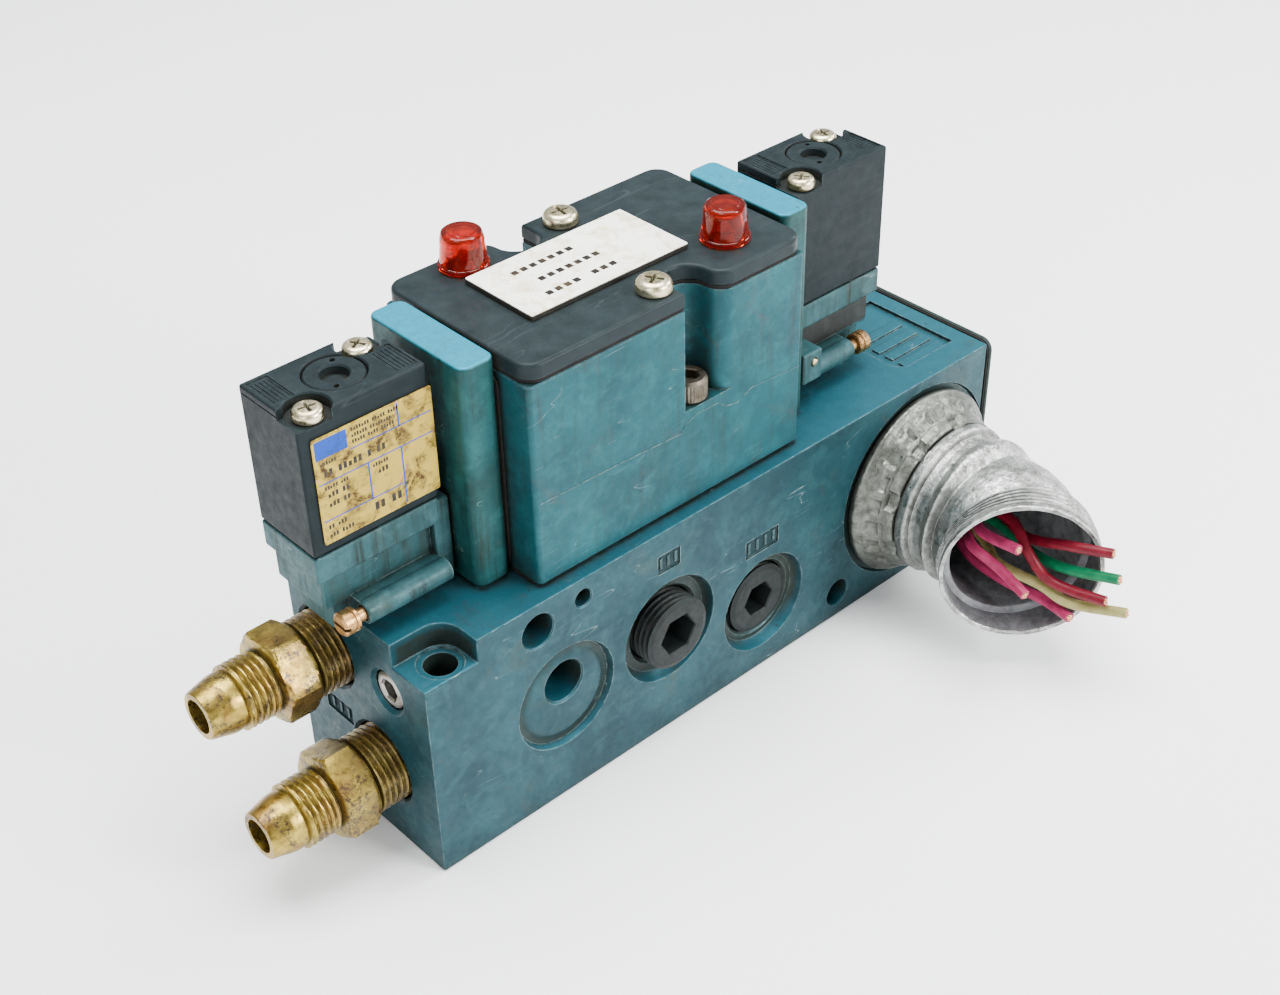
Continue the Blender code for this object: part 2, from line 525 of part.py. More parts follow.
def body_bolt(name, place_xy):
    x, y = place_xy
    seat = SLOT_FLOOR + GAP
    top = seat + BOLT_HEAD_HEIGHT
    profile = [(BOLT_END, 0), (BOLT_END, BOLT_RADIUS), (seat, BOLT_RADIUS),
               (seat, BOLT_HEAD_RADIUS), (top - 0.4, BOLT_HEAD_RADIUS),
               (top, BOLT_HEAD_RADIUS - 0.4), (top, 0)]
    bolt = add_object(name, turned("Z", x, y, profile, 24), "dark_steel")
    boolean(bolt, "DIFFERENCE", prism("Z", hexagon(x, y, 2.3), top - 2.6, top + 1))


def spool():
    lands = ((-34, -27), (-17.5, -10), (-3.5, 3.5), (10, 17.5), (27, 34))
    profile = [(VALVE_X - SPOOL_HALF, 0)]
    for start, end in lands:
        profile += [(VALVE_X + start, SPOOL_NECK), (VALVE_X + start, SPOOL_RADIUS),
                    (VALVE_X + end, SPOOL_RADIUS), (VALVE_X + end, SPOOL_NECK)]
    profile.append((VALVE_X + SPOOL_HALF, 0))
    add_object("spool", turned("X", VALVE_Y, BORE_Z, profile, HIDDEN_ROUND), "steel",
               origin=(VALVE_X, VALVE_Y, BORE_Z))


def piston(side, sign):
    near = VALVE_X + sign * PISTON_START
    far = VALVE_X + sign * (PISTON_START + PISTON_LENGTH)
    groove = VALVE_X + sign * (PISTON_START + 2.2)
    groove_end = VALVE_X + sign * (PISTON_START + 3.8)
    profile = [(near, 0), (near, PISTON_RADIUS), (groove, PISTON_RADIUS),
               (groove, PISTON_RADIUS - 1), (groove_end, PISTON_RADIUS - 1),
               (groove_end, PISTON_RADIUS), (far, PISTON_RADIUS), (far, 0)]
    add_object(f"piston_{side}", turned("X", VALVE_Y, BORE_Z, profile, HIDDEN_ROUND), "black_plastic",
               origin=(VALVE_X + sign * PISTON_START, VALVE_Y, BORE_Z))


def end_cap(side, sign):
    inner, outer = VALVE_X + sign * CAP_INNER, VALVE_X + sign * CAP_OUTER
    low, high = min(inner, outer), max(inner, outer)
    outline = rectangle(low, high, *CAP_Y, 2.2, 3)
    cap = add_object(f"end_cap_{side}", prism("Z", outline, BASE_TOP + 1.0, CAP_TOP),
                     "cap_painted")
    pocket_end = VALVE_X + sign * CAP_POCKET_END
    pocket = sorted((inner - sign, pocket_end))
    boolean(cap, "DIFFERENCE", prism("X", circle(VALVE_Y, BORE_Z, PISTON_BORE, HIDDEN_ROUND), *pocket))
    gasket_edge = VALVE_X + sign * (BODY_HALF_X + GAP)
    gasket_face = gasket_edge + sign * 0.5
    seal = rectangle(CAP_Y[0] + 0.6, CAP_Y[1] - 0.6, BASE_TOP + 1.2, BODY_TOP - 0.6, 2.0, 3)
    gasket = add_object(f"cap_gasket_{side}", prism("X", seal, *sorted((gasket_edge, gasket_face))),
                        "gasket_rubber")
    boolean(gasket, "DIFFERENCE", prism("X", circle(VALVE_Y, BORE_Z, PISTON_BORE, HIDDEN_ROUND),
                                        *sorted((gasket_edge - 2 * sign, gasket_face + 2 * sign))))


def top_cover():
    gasket_low = BODY_TOP + 0.25
    gasket = add_object("cover_gasket", prism("Z", valve_outline(4.0), gasket_low,
                                              gasket_low + COVER_GASKET_THICK), "gasket_rubber")
    plate_low = COVER_TOP - COVER_PLATE_THICK
    plate = add_object("top_cover", prism("Z", valve_outline(4.0), plate_low, COVER_TOP),
                       "black_plastic")
    for thing in (gasket, plate):
        cuts = slot_cutters(BODY_TOP - 2)
        for x, y in COVER_SCREWS.values():
            cuts.append(prism("Z", circle(x, y, COVER_SCREW_RADIUS + GAP, HIDDEN_ROUND),
                              BODY_TOP - 1, COVER_TOP + 1))
        for x, y in LENSES.values():
            cuts.append(prism("Z", circle(x, y, LENS_HOLE + GAP, SMALL_ROUND),
                              BODY_TOP - 1, COVER_TOP + 1))
        boolean(thing, "DIFFERENCE", *cuts)


def pan_screw(name, x, y, seat, head_radius, head_height, shank_radius, tip, cross):
    profile = [(tip, 0), (tip, shank_radius), (seat, shank_radius), (seat, head_radius),
               (seat + head_height * 0.45, head_radius), (seat + head_height * 0.8,
               head_radius * 0.8), (seat + head_height, head_radius * 0.45),
               (seat + head_height, 0)]
    screw = add_object(name, turned("Z", x, y, profile, SMALL_ROUND), "zinc_screw")
    arm, width = head_radius * 0.6, head_radius * 0.12
    floor = seat + head_height * 0.35
    top = seat + head_height + 1
    if cross:
        boolean(screw, "DIFFERENCE", box(x - arm, x + arm, y - width, y + width, floor, top),
                box(x - width, x + width, y - arm, y + arm, floor + 0.001, top + 0.001))


def lens(side, x, y):
    """Thimble lens: a rim on the cover, a conical wall, and a snap-in skirt in the hole."""
    seat = COVER_TOP + GAP
    top = COVER_TOP + LENS_HEIGHT
    profile = [(seat, LENS_BASE_RADIUS), (seat + 1.0, LENS_BASE_RADIUS), (seat + 1.2, 4.8),
               (top - 0.6, LENS_TOP_RADIUS), (top, LENS_TOP_RADIUS - 0.6), (top, 0),
               (top - 1.2, 0), (top - 1.4, 2.9), (seat, 3.3), (COVER_TOP - 3.5, 3.3),
               (COVER_TOP - 3.5, LENS_HOLE), (seat, LENS_HOLE)]
    bm = turned("Z", x, y, profile[:6], SMALL_ROUND)
    inner = turned("Z", x, y, profile[6:] + profile[:1], SMALL_ROUND)
    combined = bpy.data.meshes.new("lens_join")
    inner.to_mesh(combined)
    inner.free()
    bm.from_mesh(combined)
    bpy.data.meshes.remove(combined)
    bmesh.ops.remove_doubles(bm, verts=bm.verts, dist=0.0005)
    add_object(f"lens_{side}", bm, "lens_red")


def lamp(side, x, y):
    profile = [(91.0, 0), (91.0, 2.6), (102.0, 2.6), (102.0, 2.0), (COVER_TOP + 2.5, 2.0),
               (COVER_TOP + 4.2, 1.0), (COVER_TOP + 4.2, 0)]
    add_object(f"lamp_{side}", turned("Z", x, y, profile, 12), "plate_cream")


def legend_plate():
    low = COVER_TOP + GAP
    plate = add_object("legend_plate", prism("Z", rectangle(*PLATE_X, *PLATE_Y), low,
                                             low + PLATE_THICK), "plate_cream")
    x, y = COVER_SCREWS["front"]
    boolean(plate, "DIFFERENCE", prism("Z", circle(x, y, COVER_SCREW_HEAD + 0.6), low - 1, low + 3))


# ---------------------------------------------------------------- pilots

def pilot_base(side, sign):
    """Cast pilot body: a band under the housing, stepped foot, flange and operator barrel."""
    centre = VALVE_X + sign * PILOT_REACH
    flange = VALVE_X + sign * (CAP_OUTER + GAP)

    def block(inner_offset, outer_inset, y0, y1, z0, z1):
        edges = sorted((flange + sign * inner_offset,
                        centre + sign * (HOUSING_HALF_X - outer_inset)))
        return box(*edges, y0, y1, z0, z1)

    front, back = PILOT_Y - HOUSING_HALF_Y, PILOT_Y + HOUSING_HALF_Y
    body = add_object(f"pilot_base_{side}", block(2.6, 0, front, back, PILOT_STEP_1,
                                                  PILOT_BASE_TOP), "body_painted")
    middle = block(0.9, 1.5, front + 1.9, back - 0.4, PILOT_STEP_2, PILOT_STEP_1 + 0.5)
    foot = block(0.5, 3.4, front + 2.6, back - 0.8, PILOT_FOOT, PILOT_STEP_2 + 0.5)
    thick, set_back = PILOT_FLANGE[side]
    upright = box(*sorted((flange + sign * 0.2, flange + sign * thick)), front + set_back,
                  back - 0.3, PILOT_FOOT + 0.5, PILOT_BASE_TOP - 0.8)
    joined = [middle, foot, upright]
    if side == LUG_SIDE:
        joined.append(box(*sorted((flange, flange + sign * LUG_REACH)), LUG_FRONT, back - 0.2,
                          *LUG_Z))
    barrel_end = BARREL_END[side]
    steps = 10
    barrel = [(front + 4, BARREL_Z + BARREL_RADIUS)]
    for i in range(steps + 1):
        angle = math.pi / 2 + math.pi * i / steps
        barrel.append((BARREL_Y + BARREL_RADIUS * math.cos(angle),
                       BARREL_Z + BARREL_RADIUS * math.sin(angle)))
    barrel.append((front + 4, BARREL_Z - BARREL_RADIUS))
    barrel_reach = sorted((flange + sign * 0.7, barrel_end))
    boolean(body, "UNION", *joined, prism("X", barrel, *barrel_reach))
    core_x = centre + CORE_SHIFT[0]
    core_y = PILOT_Y + CORE_SHIFT[1]
    bore = sorted((barrel_end + sign, barrel_end - sign * 9))
    cuts = [prism("Z", circle(core_x, core_y, ARMATURE_RADIUS + 0.4, SMALL_ROUND),
                  ARMATURE_Z[0] - GAP, PILOT_BASE_TOP + 1),
            prism("X", circle(BARREL_Y, BARREL_Z, BARREL_BORE, 16), *bore)]
    for way in (-1, 1):
        cuts.append(prism("Z", circle(centre + way * PILOT_SCREW[0], PILOT_Y + way * PILOT_SCREW[1],
                                      PILOT_SCREW_RADIUS + GAP, 12), 71.0, PILOT_BASE_TOP + 1))
    boolean(body, "DIFFERENCE", *cuts)


def coil_housing(side, sign):
    centre = VALVE_X + sign * PILOT_REACH
    left, right = centre - HOUSING_HALF_X, centre + HOUSING_HALF_X
    front, back = PILOT_Y - HOUSING_HALF_Y, PILOT_Y + HOUSING_HALF_Y
    housing = add_object(f"coil_housing_{side}",
                         box(left, right, front, back, HOUSING_BOTTOM, HOUSING_TOP),
                         "black_plastic")
    core_x, core_y = centre + CORE_SHIFT[0], PILOT_Y + CORE_SHIFT[1]
    cuts = [prism("Z", circle(core_x, core_y, COIL_CAVITY, SMALL_ROUND), HOUSING_BOTTOM - 1, 101.0),
            prism("Z", circle(core_x, core_y, CORE_RADIUS + GAP, SMALL_ROUND), 100.0, 104.0),
            prism("Z", circle(core_x, core_y, CORE_DISC_RADIUS + GAP, SMALL_ROUND), 102.6, HOUSING_TOP + 1)]
    for way in (-1, 1):
        x, y = centre + way * PILOT_SCREW[0], PILOT_Y + way * PILOT_SCREW[1]
        corner = rectangle(*sorted((centre + way * (HOUSING_HALF_X + 1), x - way * 0.1)),
                           *sorted((PILOT_Y + way * (HOUSING_HALF_Y + 1),
                                    PILOT_Y + way * SCREW_NOTCH[1])))
        cuts.append(prism("Z", corner, SCREW_NOTCH_FLOOR, HOUSING_TOP + 1))
        cuts.append(prism("Z", circle(x, y, 4.4, SMALL_ROUND), SCREW_NOTCH_FLOOR + 0.0005, HOUSING_TOP + 1.5))
        cuts.append(prism("Z", circle(x, y, PILOT_SCREW_RADIUS + GAP, 12),
                          HOUSING_BOTTOM - 1, HOUSING_TOP + 1))
    boolean(housing, "DIFFERENCE", *cuts)


def solenoid(side, sign):
    """Winding, fixed pole piece, moving armature and its return spring, on one axis."""
    x = VALVE_X + sign * PILOT_REACH + CORE_SHIFT[0]
    y = PILOT_Y + CORE_SHIFT[1]
    winding = [(77.0, COIL_INNER), (77.0, COIL_OUTER), (100.4, COIL_OUTER), (100.4, COIL_INNER)]
    add_object(f"coil_{side}", turned("Z", x, y, winding, HIDDEN_ROUND, closed_loop=True), "copper")
    disc_low, disc_top = 102.9, HOUSING_TOP - 0.3
    pole = [(CORE_END, 0), (CORE_END, CORE_RADIUS), (disc_low, CORE_RADIUS),
            (disc_low, CORE_DISC_RADIUS), (disc_top, CORE_DISC_RADIUS), (disc_top, 2.8),
            (disc_top - 2.2, 2.8), (disc_top - 2.2, 0)]
    add_object(f"pole_piece_{side}", turned("Z", x, y, pole, SMALL_ROUND), "black_plastic")
    low, shoulder, top = ARMATURE_Z
    plunger = [(low, 0), (low, ARMATURE_RADIUS), (shoulder, ARMATURE_RADIUS),
               (shoulder, ARMATURE_NECK), (top, ARMATURE_NECK), (top, 0)]
    add_object(f"armature_{side}", turned("Z", x, y, plunger, HIDDEN_ROUND), "steel", origin=(x, y, low))
    curve = bpy.data.curves.new(f"armature_spring_{side}", "CURVE")
    curve.dimensions = "3D"
    curve.bevel_depth = SPRING_WIRE * MM
    curve.bevel_resolution = 0
    curve.use_fill_caps = True
    steps = SPRING_TURNS * SPRING_STEPS
    low, high = shoulder + GAP + SPRING_WIRE, CORE_END - GAP - SPRING_WIRE
    spline = curve.splines.new("POLY")
    spline.points.add(steps)
    for i, point in enumerate(spline.points):
        angle = 2 * math.pi * i / SPRING_STEPS
        point.co = ((x + SPRING_RADIUS * math.cos(angle)) * MM,
                    (y + SPRING_RADIUS * math.sin(angle)) * MM,
                    (low + (high - low) * i / steps) * MM, 1.0)
    curve.materials.append(finish_material("steel"))
    spring = bpy.data.objects.new(f"armature_spring_{side}", curve)
    bpy.context.collection.objects.link(spring)


def operator_pin(side, sign):
    """Brass push pin: a slotted head outside the barrel and a stem inside it."""
    face = BARREL_END[side] + sign * OPERATOR_GAP
    tip = face + sign * OPERATOR_HEAD_LENGTH
    inner = BARREL_END[side] - sign * 5.0
    profile = [(inner, 0), (inner, OPERATOR_STEM), (face, OPERATOR_STEM), (face, OPERATOR_HEAD),
               (tip - sign * 0.4, OPERATOR_HEAD), (tip, OPERATOR_HEAD - 0.4), (tip, 0)]
    pin = add_object(f"operator_pin_{side}", turned("X", BARREL_Y, BARREL_Z, profile, 20), "brass",
                     origin=(BARREL_END[side], BARREL_Y, BARREL_Z))
    slot = sorted((tip + sign, tip - sign * 1.0))
    boolean(pin, "DIFFERENCE", box(*slot, BARREL_Y - 3, BARREL_Y + 3,
                                   BARREL_Z - 0.4, BARREL_Z + 0.4))


def pilot_label():
    face = PILOT_Y - HOUSING_HALF_Y - 0.25
    add_object("pilot_label", prism("Y", rectangle(*LABEL_X, *LABEL_Z), face - LABEL_THICK, face),
               "plate_cream")


def build():
    clear_scene()
    manifold_base()
    end_plates()
    pipe_plug("inlet_plug", INLET, BASE_FRONT - INLET_PLUG_PROUD, INLET_HEX)
    pipe_plug("exhaust_plug", EXHAUST, BASE_FRONT + EXHAUST_PLUG_SUNK, EXHAUST_HEX)
    flow_screw()
    connector()
    base_gasket()
    for position, place_yz in FITTINGS.items():
        tube_fitting(f"fitting_{position}", place_yz)
    elbow_locknut()
    conduit_elbow()
    for name, route in WIRE_ROUTES.items():
        lead_wire(name, route)
    valve_body()
    body_bolt("body_bolt_front", FRONT_SLOT)
    body_bolt("body_bolt_rear", REAR_SLOT)
    spool()
    top_cover()
    for position, (x, y) in COVER_SCREWS.items():
        pan_screw(f"cover_screw_{position}", x, y, COVER_TOP + GAP, COVER_SCREW_HEAD,
                  COVER_SCREW_HEIGHT, COVER_SCREW_RADIUS, 92.0, True)
    for side, (x, y) in LENSES.items():
        lens(side, x, y)
        lamp(side, x, y)
    legend_plate()
    for side, sign in (("left", -1), ("right", 1)):
        piston(side, sign)
        end_cap(side, sign)
        pilot_base(side, sign)
        coil_housing(side, sign)
        solenoid(side, sign)
        operator_pin(side, sign)
        centre = VALVE_X + sign * PILOT_REACH
        for position, way in (("front", -1), ("rear", 1)):
            pan_screw(f"pilot_screw_{side}_{position}", centre + way * PILOT_SCREW[0],
                      PILOT_Y + way * PILOT_SCREW[1], SCREW_NOTCH_FLOOR + GAP, PILOT_SCREW_HEAD,
                      PILOT_SCREW_HEIGHT, PILOT_SCREW_RADIUS, 72.0, True)
    pilot_label()


build()
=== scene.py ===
"""Looks of the double-solenoid spool valve on its manifold base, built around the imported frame.

Lengths are in millimetres until a mesh is made. Places come from the CAD boxes wherever a
piece has a box of its own; the machined details of the base are given as named values.
"""
import math

import bmesh
import bpy
from mathutils import Matrix, Vector, noise


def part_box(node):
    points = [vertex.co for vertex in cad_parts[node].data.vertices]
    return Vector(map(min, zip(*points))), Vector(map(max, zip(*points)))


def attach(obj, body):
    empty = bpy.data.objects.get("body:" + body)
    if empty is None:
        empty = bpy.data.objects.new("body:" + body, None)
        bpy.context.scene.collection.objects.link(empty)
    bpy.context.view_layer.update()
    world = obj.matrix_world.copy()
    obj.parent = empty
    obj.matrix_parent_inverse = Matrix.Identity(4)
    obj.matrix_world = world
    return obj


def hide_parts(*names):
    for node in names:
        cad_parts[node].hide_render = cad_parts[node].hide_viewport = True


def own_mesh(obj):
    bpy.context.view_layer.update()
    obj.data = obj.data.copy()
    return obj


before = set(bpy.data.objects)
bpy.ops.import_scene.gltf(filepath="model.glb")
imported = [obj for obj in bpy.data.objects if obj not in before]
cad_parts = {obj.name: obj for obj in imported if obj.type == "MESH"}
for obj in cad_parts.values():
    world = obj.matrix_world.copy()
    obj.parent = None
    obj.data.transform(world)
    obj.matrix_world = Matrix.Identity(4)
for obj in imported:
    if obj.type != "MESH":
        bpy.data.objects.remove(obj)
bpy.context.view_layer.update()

MM = 0.001
SIDES = {"left": -1, "right": 1}
POSITIONS = ("front", "rear")
COS_30 = math.cos(math.pi / 6)


def corners(node):
    """Lowest and highest corner of the node's box."""
    low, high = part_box(node)
    return low / MM, high / MM


def lowest(node):
    return corners(node)[0]


def highest(node):
    return corners(node)[1]


def middle(node):
    low, high = corners(node)
    return (low + high) / 2


def new_object(name, data):
    thing = bpy.data.objects.new(name, data)
    bpy.context.scene.collection.objects.link(thing)
    return thing


# ---------------------------------------------------------------- camera, light and floor

CAMERA_PLACE = Vector((-0.2284, -0.24505, 0.2857))
CAMERA_AZIMUTH, CAMERA_ELEVATION, CAMERA_ROLL = (math.radians(a) for a in (-41.96, 36.32, -1.3))
CAMERA_LENS = 52.69
LIGHT_AIM = Vector((0, 0, 0.05))
FLOOR_REACH, FLOOR_LEVEL = 3.0, -0.0001


def make_camera():
    data = bpy.data.cameras.new("camera")
    data.lens = CAMERA_LENS
    data.clip_start = 0.01
    camera = new_object("camera", data)
    turn = (Matrix.Rotation(CAMERA_AZIMUTH, 4, "Z")
            @ Matrix.Rotation(math.pi / 2 - CAMERA_ELEVATION, 4, "X")
            @ Matrix.Rotation(CAMERA_ROLL, 4, "Z"))
    camera.matrix_world = Matrix.Translation(CAMERA_PLACE) @ turn
    bpy.context.scene.camera = camera


def area_light(name, spot, size, power):
    data = bpy.data.lights.new(name, "AREA")
    data.shape = "RECTANGLE"
    data.size, data.size_y = size
    data.energy = power
    light = new_object(name, data)
    light.location = spot
    light.rotation_euler = (LIGHT_AIM - Vector(spot)).to_track_quat("-Z", "Y").to_euler()


def make_studio():
    world = bpy.data.worlds.new("studio")
    world.use_nodes = True
    background = world.node_tree.nodes["Background"]
    background.inputs["Color"].default_value = (0.93, 0.97, 1.0, 1.0)
    background.inputs["Strength"].default_value = 0.68
    bpy.context.scene.world = world
    area_light("overhead", (0.05, 0.10, 0.9), (0.8, 0.6), 24)
    area_light("front_left", (-0.8, -0.35, 0.45), (0.4, 0.4), 4)
    area_light("front_right", (0.45, -1.0, 0.55), (0.5, 0.4), 25)
    area_light("right", (0.95, -0.25, 0.6), (0.4, 0.3), 8)
    mesh = bpy.data.meshes.new("floor")
    square = rectangle(-FLOOR_REACH, FLOOR_REACH, -FLOOR_REACH, FLOOR_REACH)
    mesh.from_pydata([(x, y, 0) for x, y in square], [], [(0, 1, 2, 3)])
    mesh.materials.append(floor_material())
    floor = new_object("floor", mesh)
    floor.location.z = FLOOR_LEVEL


# ---------------------------------------------------------------- material graphs

class Graph:
    """Builds one node material; every texture works in millimetres of object space."""

    def __init__(self, name):
        self.material = bpy.data.materials.new(name)
        self.material.use_nodes = True
        self.tree = self.material.node_tree
        self.shader = self.tree.nodes["Principled BSDF"]
        self.place = self.add("ShaderNodeTexCoord").outputs["Object"]

    def add(self, kind, inputs=(), **settings):
        node = self.tree.nodes.new(kind)
        for key, value in settings.items():
            setattr(node, key, value)
        for key, value in dict(inputs).items():
            self.put(node.inputs[key], value)
        return node

    def put(self, socket, value):
        if isinstance(value, bpy.types.NodeSocket):
            self.tree.links.new(value, socket)
        else:
            socket.default_value = value

    def set(self, **values):
        for key, value in values.items():
            self.put(self.shader.inputs[key.replace("_", " ")], value)

    def spread(self, size, stretch=(1, 1, 1), turn=(0, 0, 0)):
        scale = [1 / (MM * size * s) for s in stretch]
        return self.add("ShaderNodeMapping", {"Vector": self.place, "Scale": scale,
                                              "Rotation": turn}).outputs[0]

    def noise(self, size, detail=4.0, rough=0.55, stretch=(1, 1, 1), turn=(0, 0, 0), warp=0.0):
        return self.add("ShaderNodeTexNoise", {
            "Vector": self.spread(size, stretch, turn), "Scale": 1.0, "Detail": detail,
            "Roughness": rough, "Distortion": warp}).outputs[0]

    def span(self, value, low, high, to_low=0.0, to_high=1.0):
        return self.add("ShaderNodeMapRange", {
            "Value": value, "From Min": low, "From Max": high, "To Min": to_low,
            "To Max": to_high}).outputs[0]

    def math(self, operation, a, b=0.0):
        node = self.add("ShaderNodeMath", operation=operation)
        self.put(node.inputs[0], a)
        self.put(node.inputs[1], b)
        return node.outputs[0]

    def times(self, a, b):
        return self.math("MULTIPLY", a, b)

    def most(self, a, b):
        return self.math("MAXIMUM", a, b)

    def rest(self, share):
        return self.math("SUBTRACT", 1.0, share)

    def mix(self, factor, a, b):
        node = self.add("ShaderNodeMix", data_type="RGBA")
        self.put(node.inputs[0], factor)
        for socket, value in ((node.inputs[6], a), (node.inputs[7], b)):
            self.put(socket, value if isinstance(value, bpy.types.NodeSocket) else (*value, 1.0))
        return node.outputs[2]

    def split(self, vector):
        return self.add("ShaderNodeSeparateXYZ", {"Vector": vector}).outputs

    def normal(self):
        return self.add("ShaderNodeNewGeometry").outputs["Normal"]

    def edge(self, radius):
        """1 where the surface turns within the radius."""
        rounded = self.add("ShaderNodeBevel", {"Radius": radius * MM}, samples=6).outputs[0]
        dot = self.add("ShaderNodeVectorMath", operation="DOT_PRODUCT")
        self.put(dot.inputs[0], rounded)
        self.put(dot.inputs[1], self.normal())
        return self.span(self.rest(dot.outputs["Value"]), 0.02, 0.18)

    def cavity(self, reach, low=0.25, high=0.85):
        """1 in corners and recesses; the finishes darken these places as dirt and as painted shade."""
        open_sky = self.add("ShaderNodeAmbientOcclusion", {"Distance": reach * MM}, samples=6)
        return self.span(self.rest(open_sky.outputs["AO"]), low, high)

    def facing_up(self):
        return self.span(self.split(self.normal())["Z"], 0.4, 0.9)

    def depth_inside(self, low, high):
        """Millimetres behind the nearest outer face of a box; its underside doesn't count."""
        axes = self.split(self.place)
        depth = self.math("SUBTRACT", high.z * MM, axes["Z"])
        for axis, start, end in (("X", low.x, high.x), ("Y", low.y, high.y)):
            depth = self.math("MINIMUM", depth, self.math("SUBTRACT", axes[axis], start * MM))
            depth = self.math("MINIMUM", depth, self.math("SUBTRACT", end * MM, axes[axis]))
        return self.math("DIVIDE", depth, MM)

    def bump(self, height, strength, depth, normal=None):
        inputs = {"Height": height, "Strength": strength, "Distance": depth * MM}
        if normal is not None:
            inputs["Normal"] = normal
        return self.add("ShaderNodeBump", inputs).outputs[0]

    def scratches(self, size, width, stretch, turn):
        """Fine lines: the zero contour of a long, stretched noise."""
        field = self.noise(size, 1.0, 0.4, stretch, turn)
        line = self.math("ABSOLUTE", self.math("SUBTRACT", field, 0.5))
        return self.span(line, width, 0.0)


def floor_material():
    g = Graph("studio_floor")
    g.set(Base_Color=g.mix(g.noise(40), (0.95, 0.955, 0.96), (0.98, 0.985, 0.99)), Roughness=0.75)
    return g.material


RUST, GREY_STAIN, WORN_EDGE = (0.13, 0.085, 0.030), (0.038, 0.040, 0.028), (0.30, 0.42, 0.42)
PLASTIC_DIRT_AND_SHADE, PRINT_SPECK, WIRE_DUST = (0.045, 0.04, 0.03), (0.05, 0.04, 0.02), (0.09, 0.07, 0.04)


def teal_finish(name, base, pale, dark, grime_and_shade, metallic, rough, wear, streaks=0.0, top=None,
                grime_and_shade_reach=6.0, sunk=None):
    """Anodised or painted aluminium: mottled colour, grime and painted shade in corners and recesses,
    lighter top faces as painted light, and bright worn edges.
    """
    g = Graph(name)
    broad = g.noise(14, 5)
    colour = g.mix(g.span(broad, 0.35, 0.68), dark, base)
    colour = g.mix(g.span(g.noise(5, 5, 0.6, warp=0.6), 0.48, 0.72, 0.0, 0.55), colour, pale)
    # Painted light: faces turned up take the lighter top colour.
    if top:
        colour = g.mix(g.times(g.facing_up(), 0.75), colour, top)
    colour = g.mix(g.span(g.noise(1.1, 6, 0.7), 0.35, 0.7, 0.0, 0.28), colour, dark)
    if streaks:
        run = g.span(g.noise(1.6, 5, 0.65, (1, 1, 22)), 0.46, 0.66)
        patch = g.span(g.noise(9, 3, 0.6, (1, 1, 2.2)), 0.40, 0.62, 0.0, streaks)
        colour = g.mix(g.times(g.times(run, patch), g.rest(g.facing_up())), colour, grime_and_shade)
    # Grime and painted shade in corners and at tight steps, from ambient occlusion.
    corner = g.times(g.cavity(grime_and_shade_reach), g.span(g.noise(3, 5, 0.6), 0.25, 0.6))
    tight = g.times(g.cavity(1.8, 0.10, 0.48), g.span(g.noise(2, 5, 0.7), 0.2, 0.5))
    colour = g.mix(g.times(g.most(corner, tight), 0.88), colour, grime_and_shade)
    # Painted shade: faces not turned up get darker the deeper they lie inside the sunk box.
    if sunk:
        recess_shade = g.times(g.span(g.depth_inside(*sunk), 0.8, 1.9, 0.0, 0.92),
                       g.span(g.noise(2.4, 5, 0.7), 0.25, 0.55, 0.6, 1.0))
        colour = g.mix(g.times(recess_shade, g.rest(g.facing_up())), colour, grime_and_shade)
    colour = g.mix(g.span(g.noise(0.9, 3, 0.8), 0.68, 0.76, 0.0, 0.75), colour, grime_and_shade)
    scuffed = g.span(g.noise(9, 3, 0.6), 0.56, 0.64)
    hair = g.times(g.scratches(3, 0.005, (9, 1, 1), (0.3, 0.5, 0.6)), scuffed)
    nicks = g.times(g.scratches(2.6, 0.012, (1, 5, 1), (0.7, -0.3, 0.9)),
                    g.span(g.noise(5, 4, 0.65), 0.58, 0.66))
    colour = g.mix(g.times(nicks, 0.8), colour, grime_and_shade)
    colour = g.mix(g.span(g.noise(1.3, 3, 0.75), 0.735, 0.79, 0.0, 0.75), colour, RUST)
    stain = g.times(g.span(g.noise(13, 6, 0.65, warp=0.7), 0.56, 0.70, 0.0, 0.55),
                    g.span(g.noise(1.2, 5, 0.75), 0.35, 0.6))
    colour = g.mix(stain, colour, GREY_STAIN)
    worn = g.times(g.edge(0.45), g.span(g.noise(1.8, 5, 0.7), 0.38, 0.62))
    bright = g.most(g.times(worn, wear), g.times(hair, 0.4))
    g.set(Base_Color=g.mix(bright, colour, WORN_EDGE),
          Metallic=g.span(bright, 0.0, 1.0, metallic, 0.9),
          Roughness=g.span(g.noise(2.2, 5, 0.7), 0.3, 0.7, rough - 0.1, rough + 0.13))
    g.shader.inputs["IOR"].default_value = 1.3
    relief = g.bump(g.noise(0.28, 3, 0.6), 0.35, 0.05)
    g.set(Normal=g.bump(nicks, 0.4, -0.08, g.bump(broad, 0.15, 0.3, relief)))
    return g.material


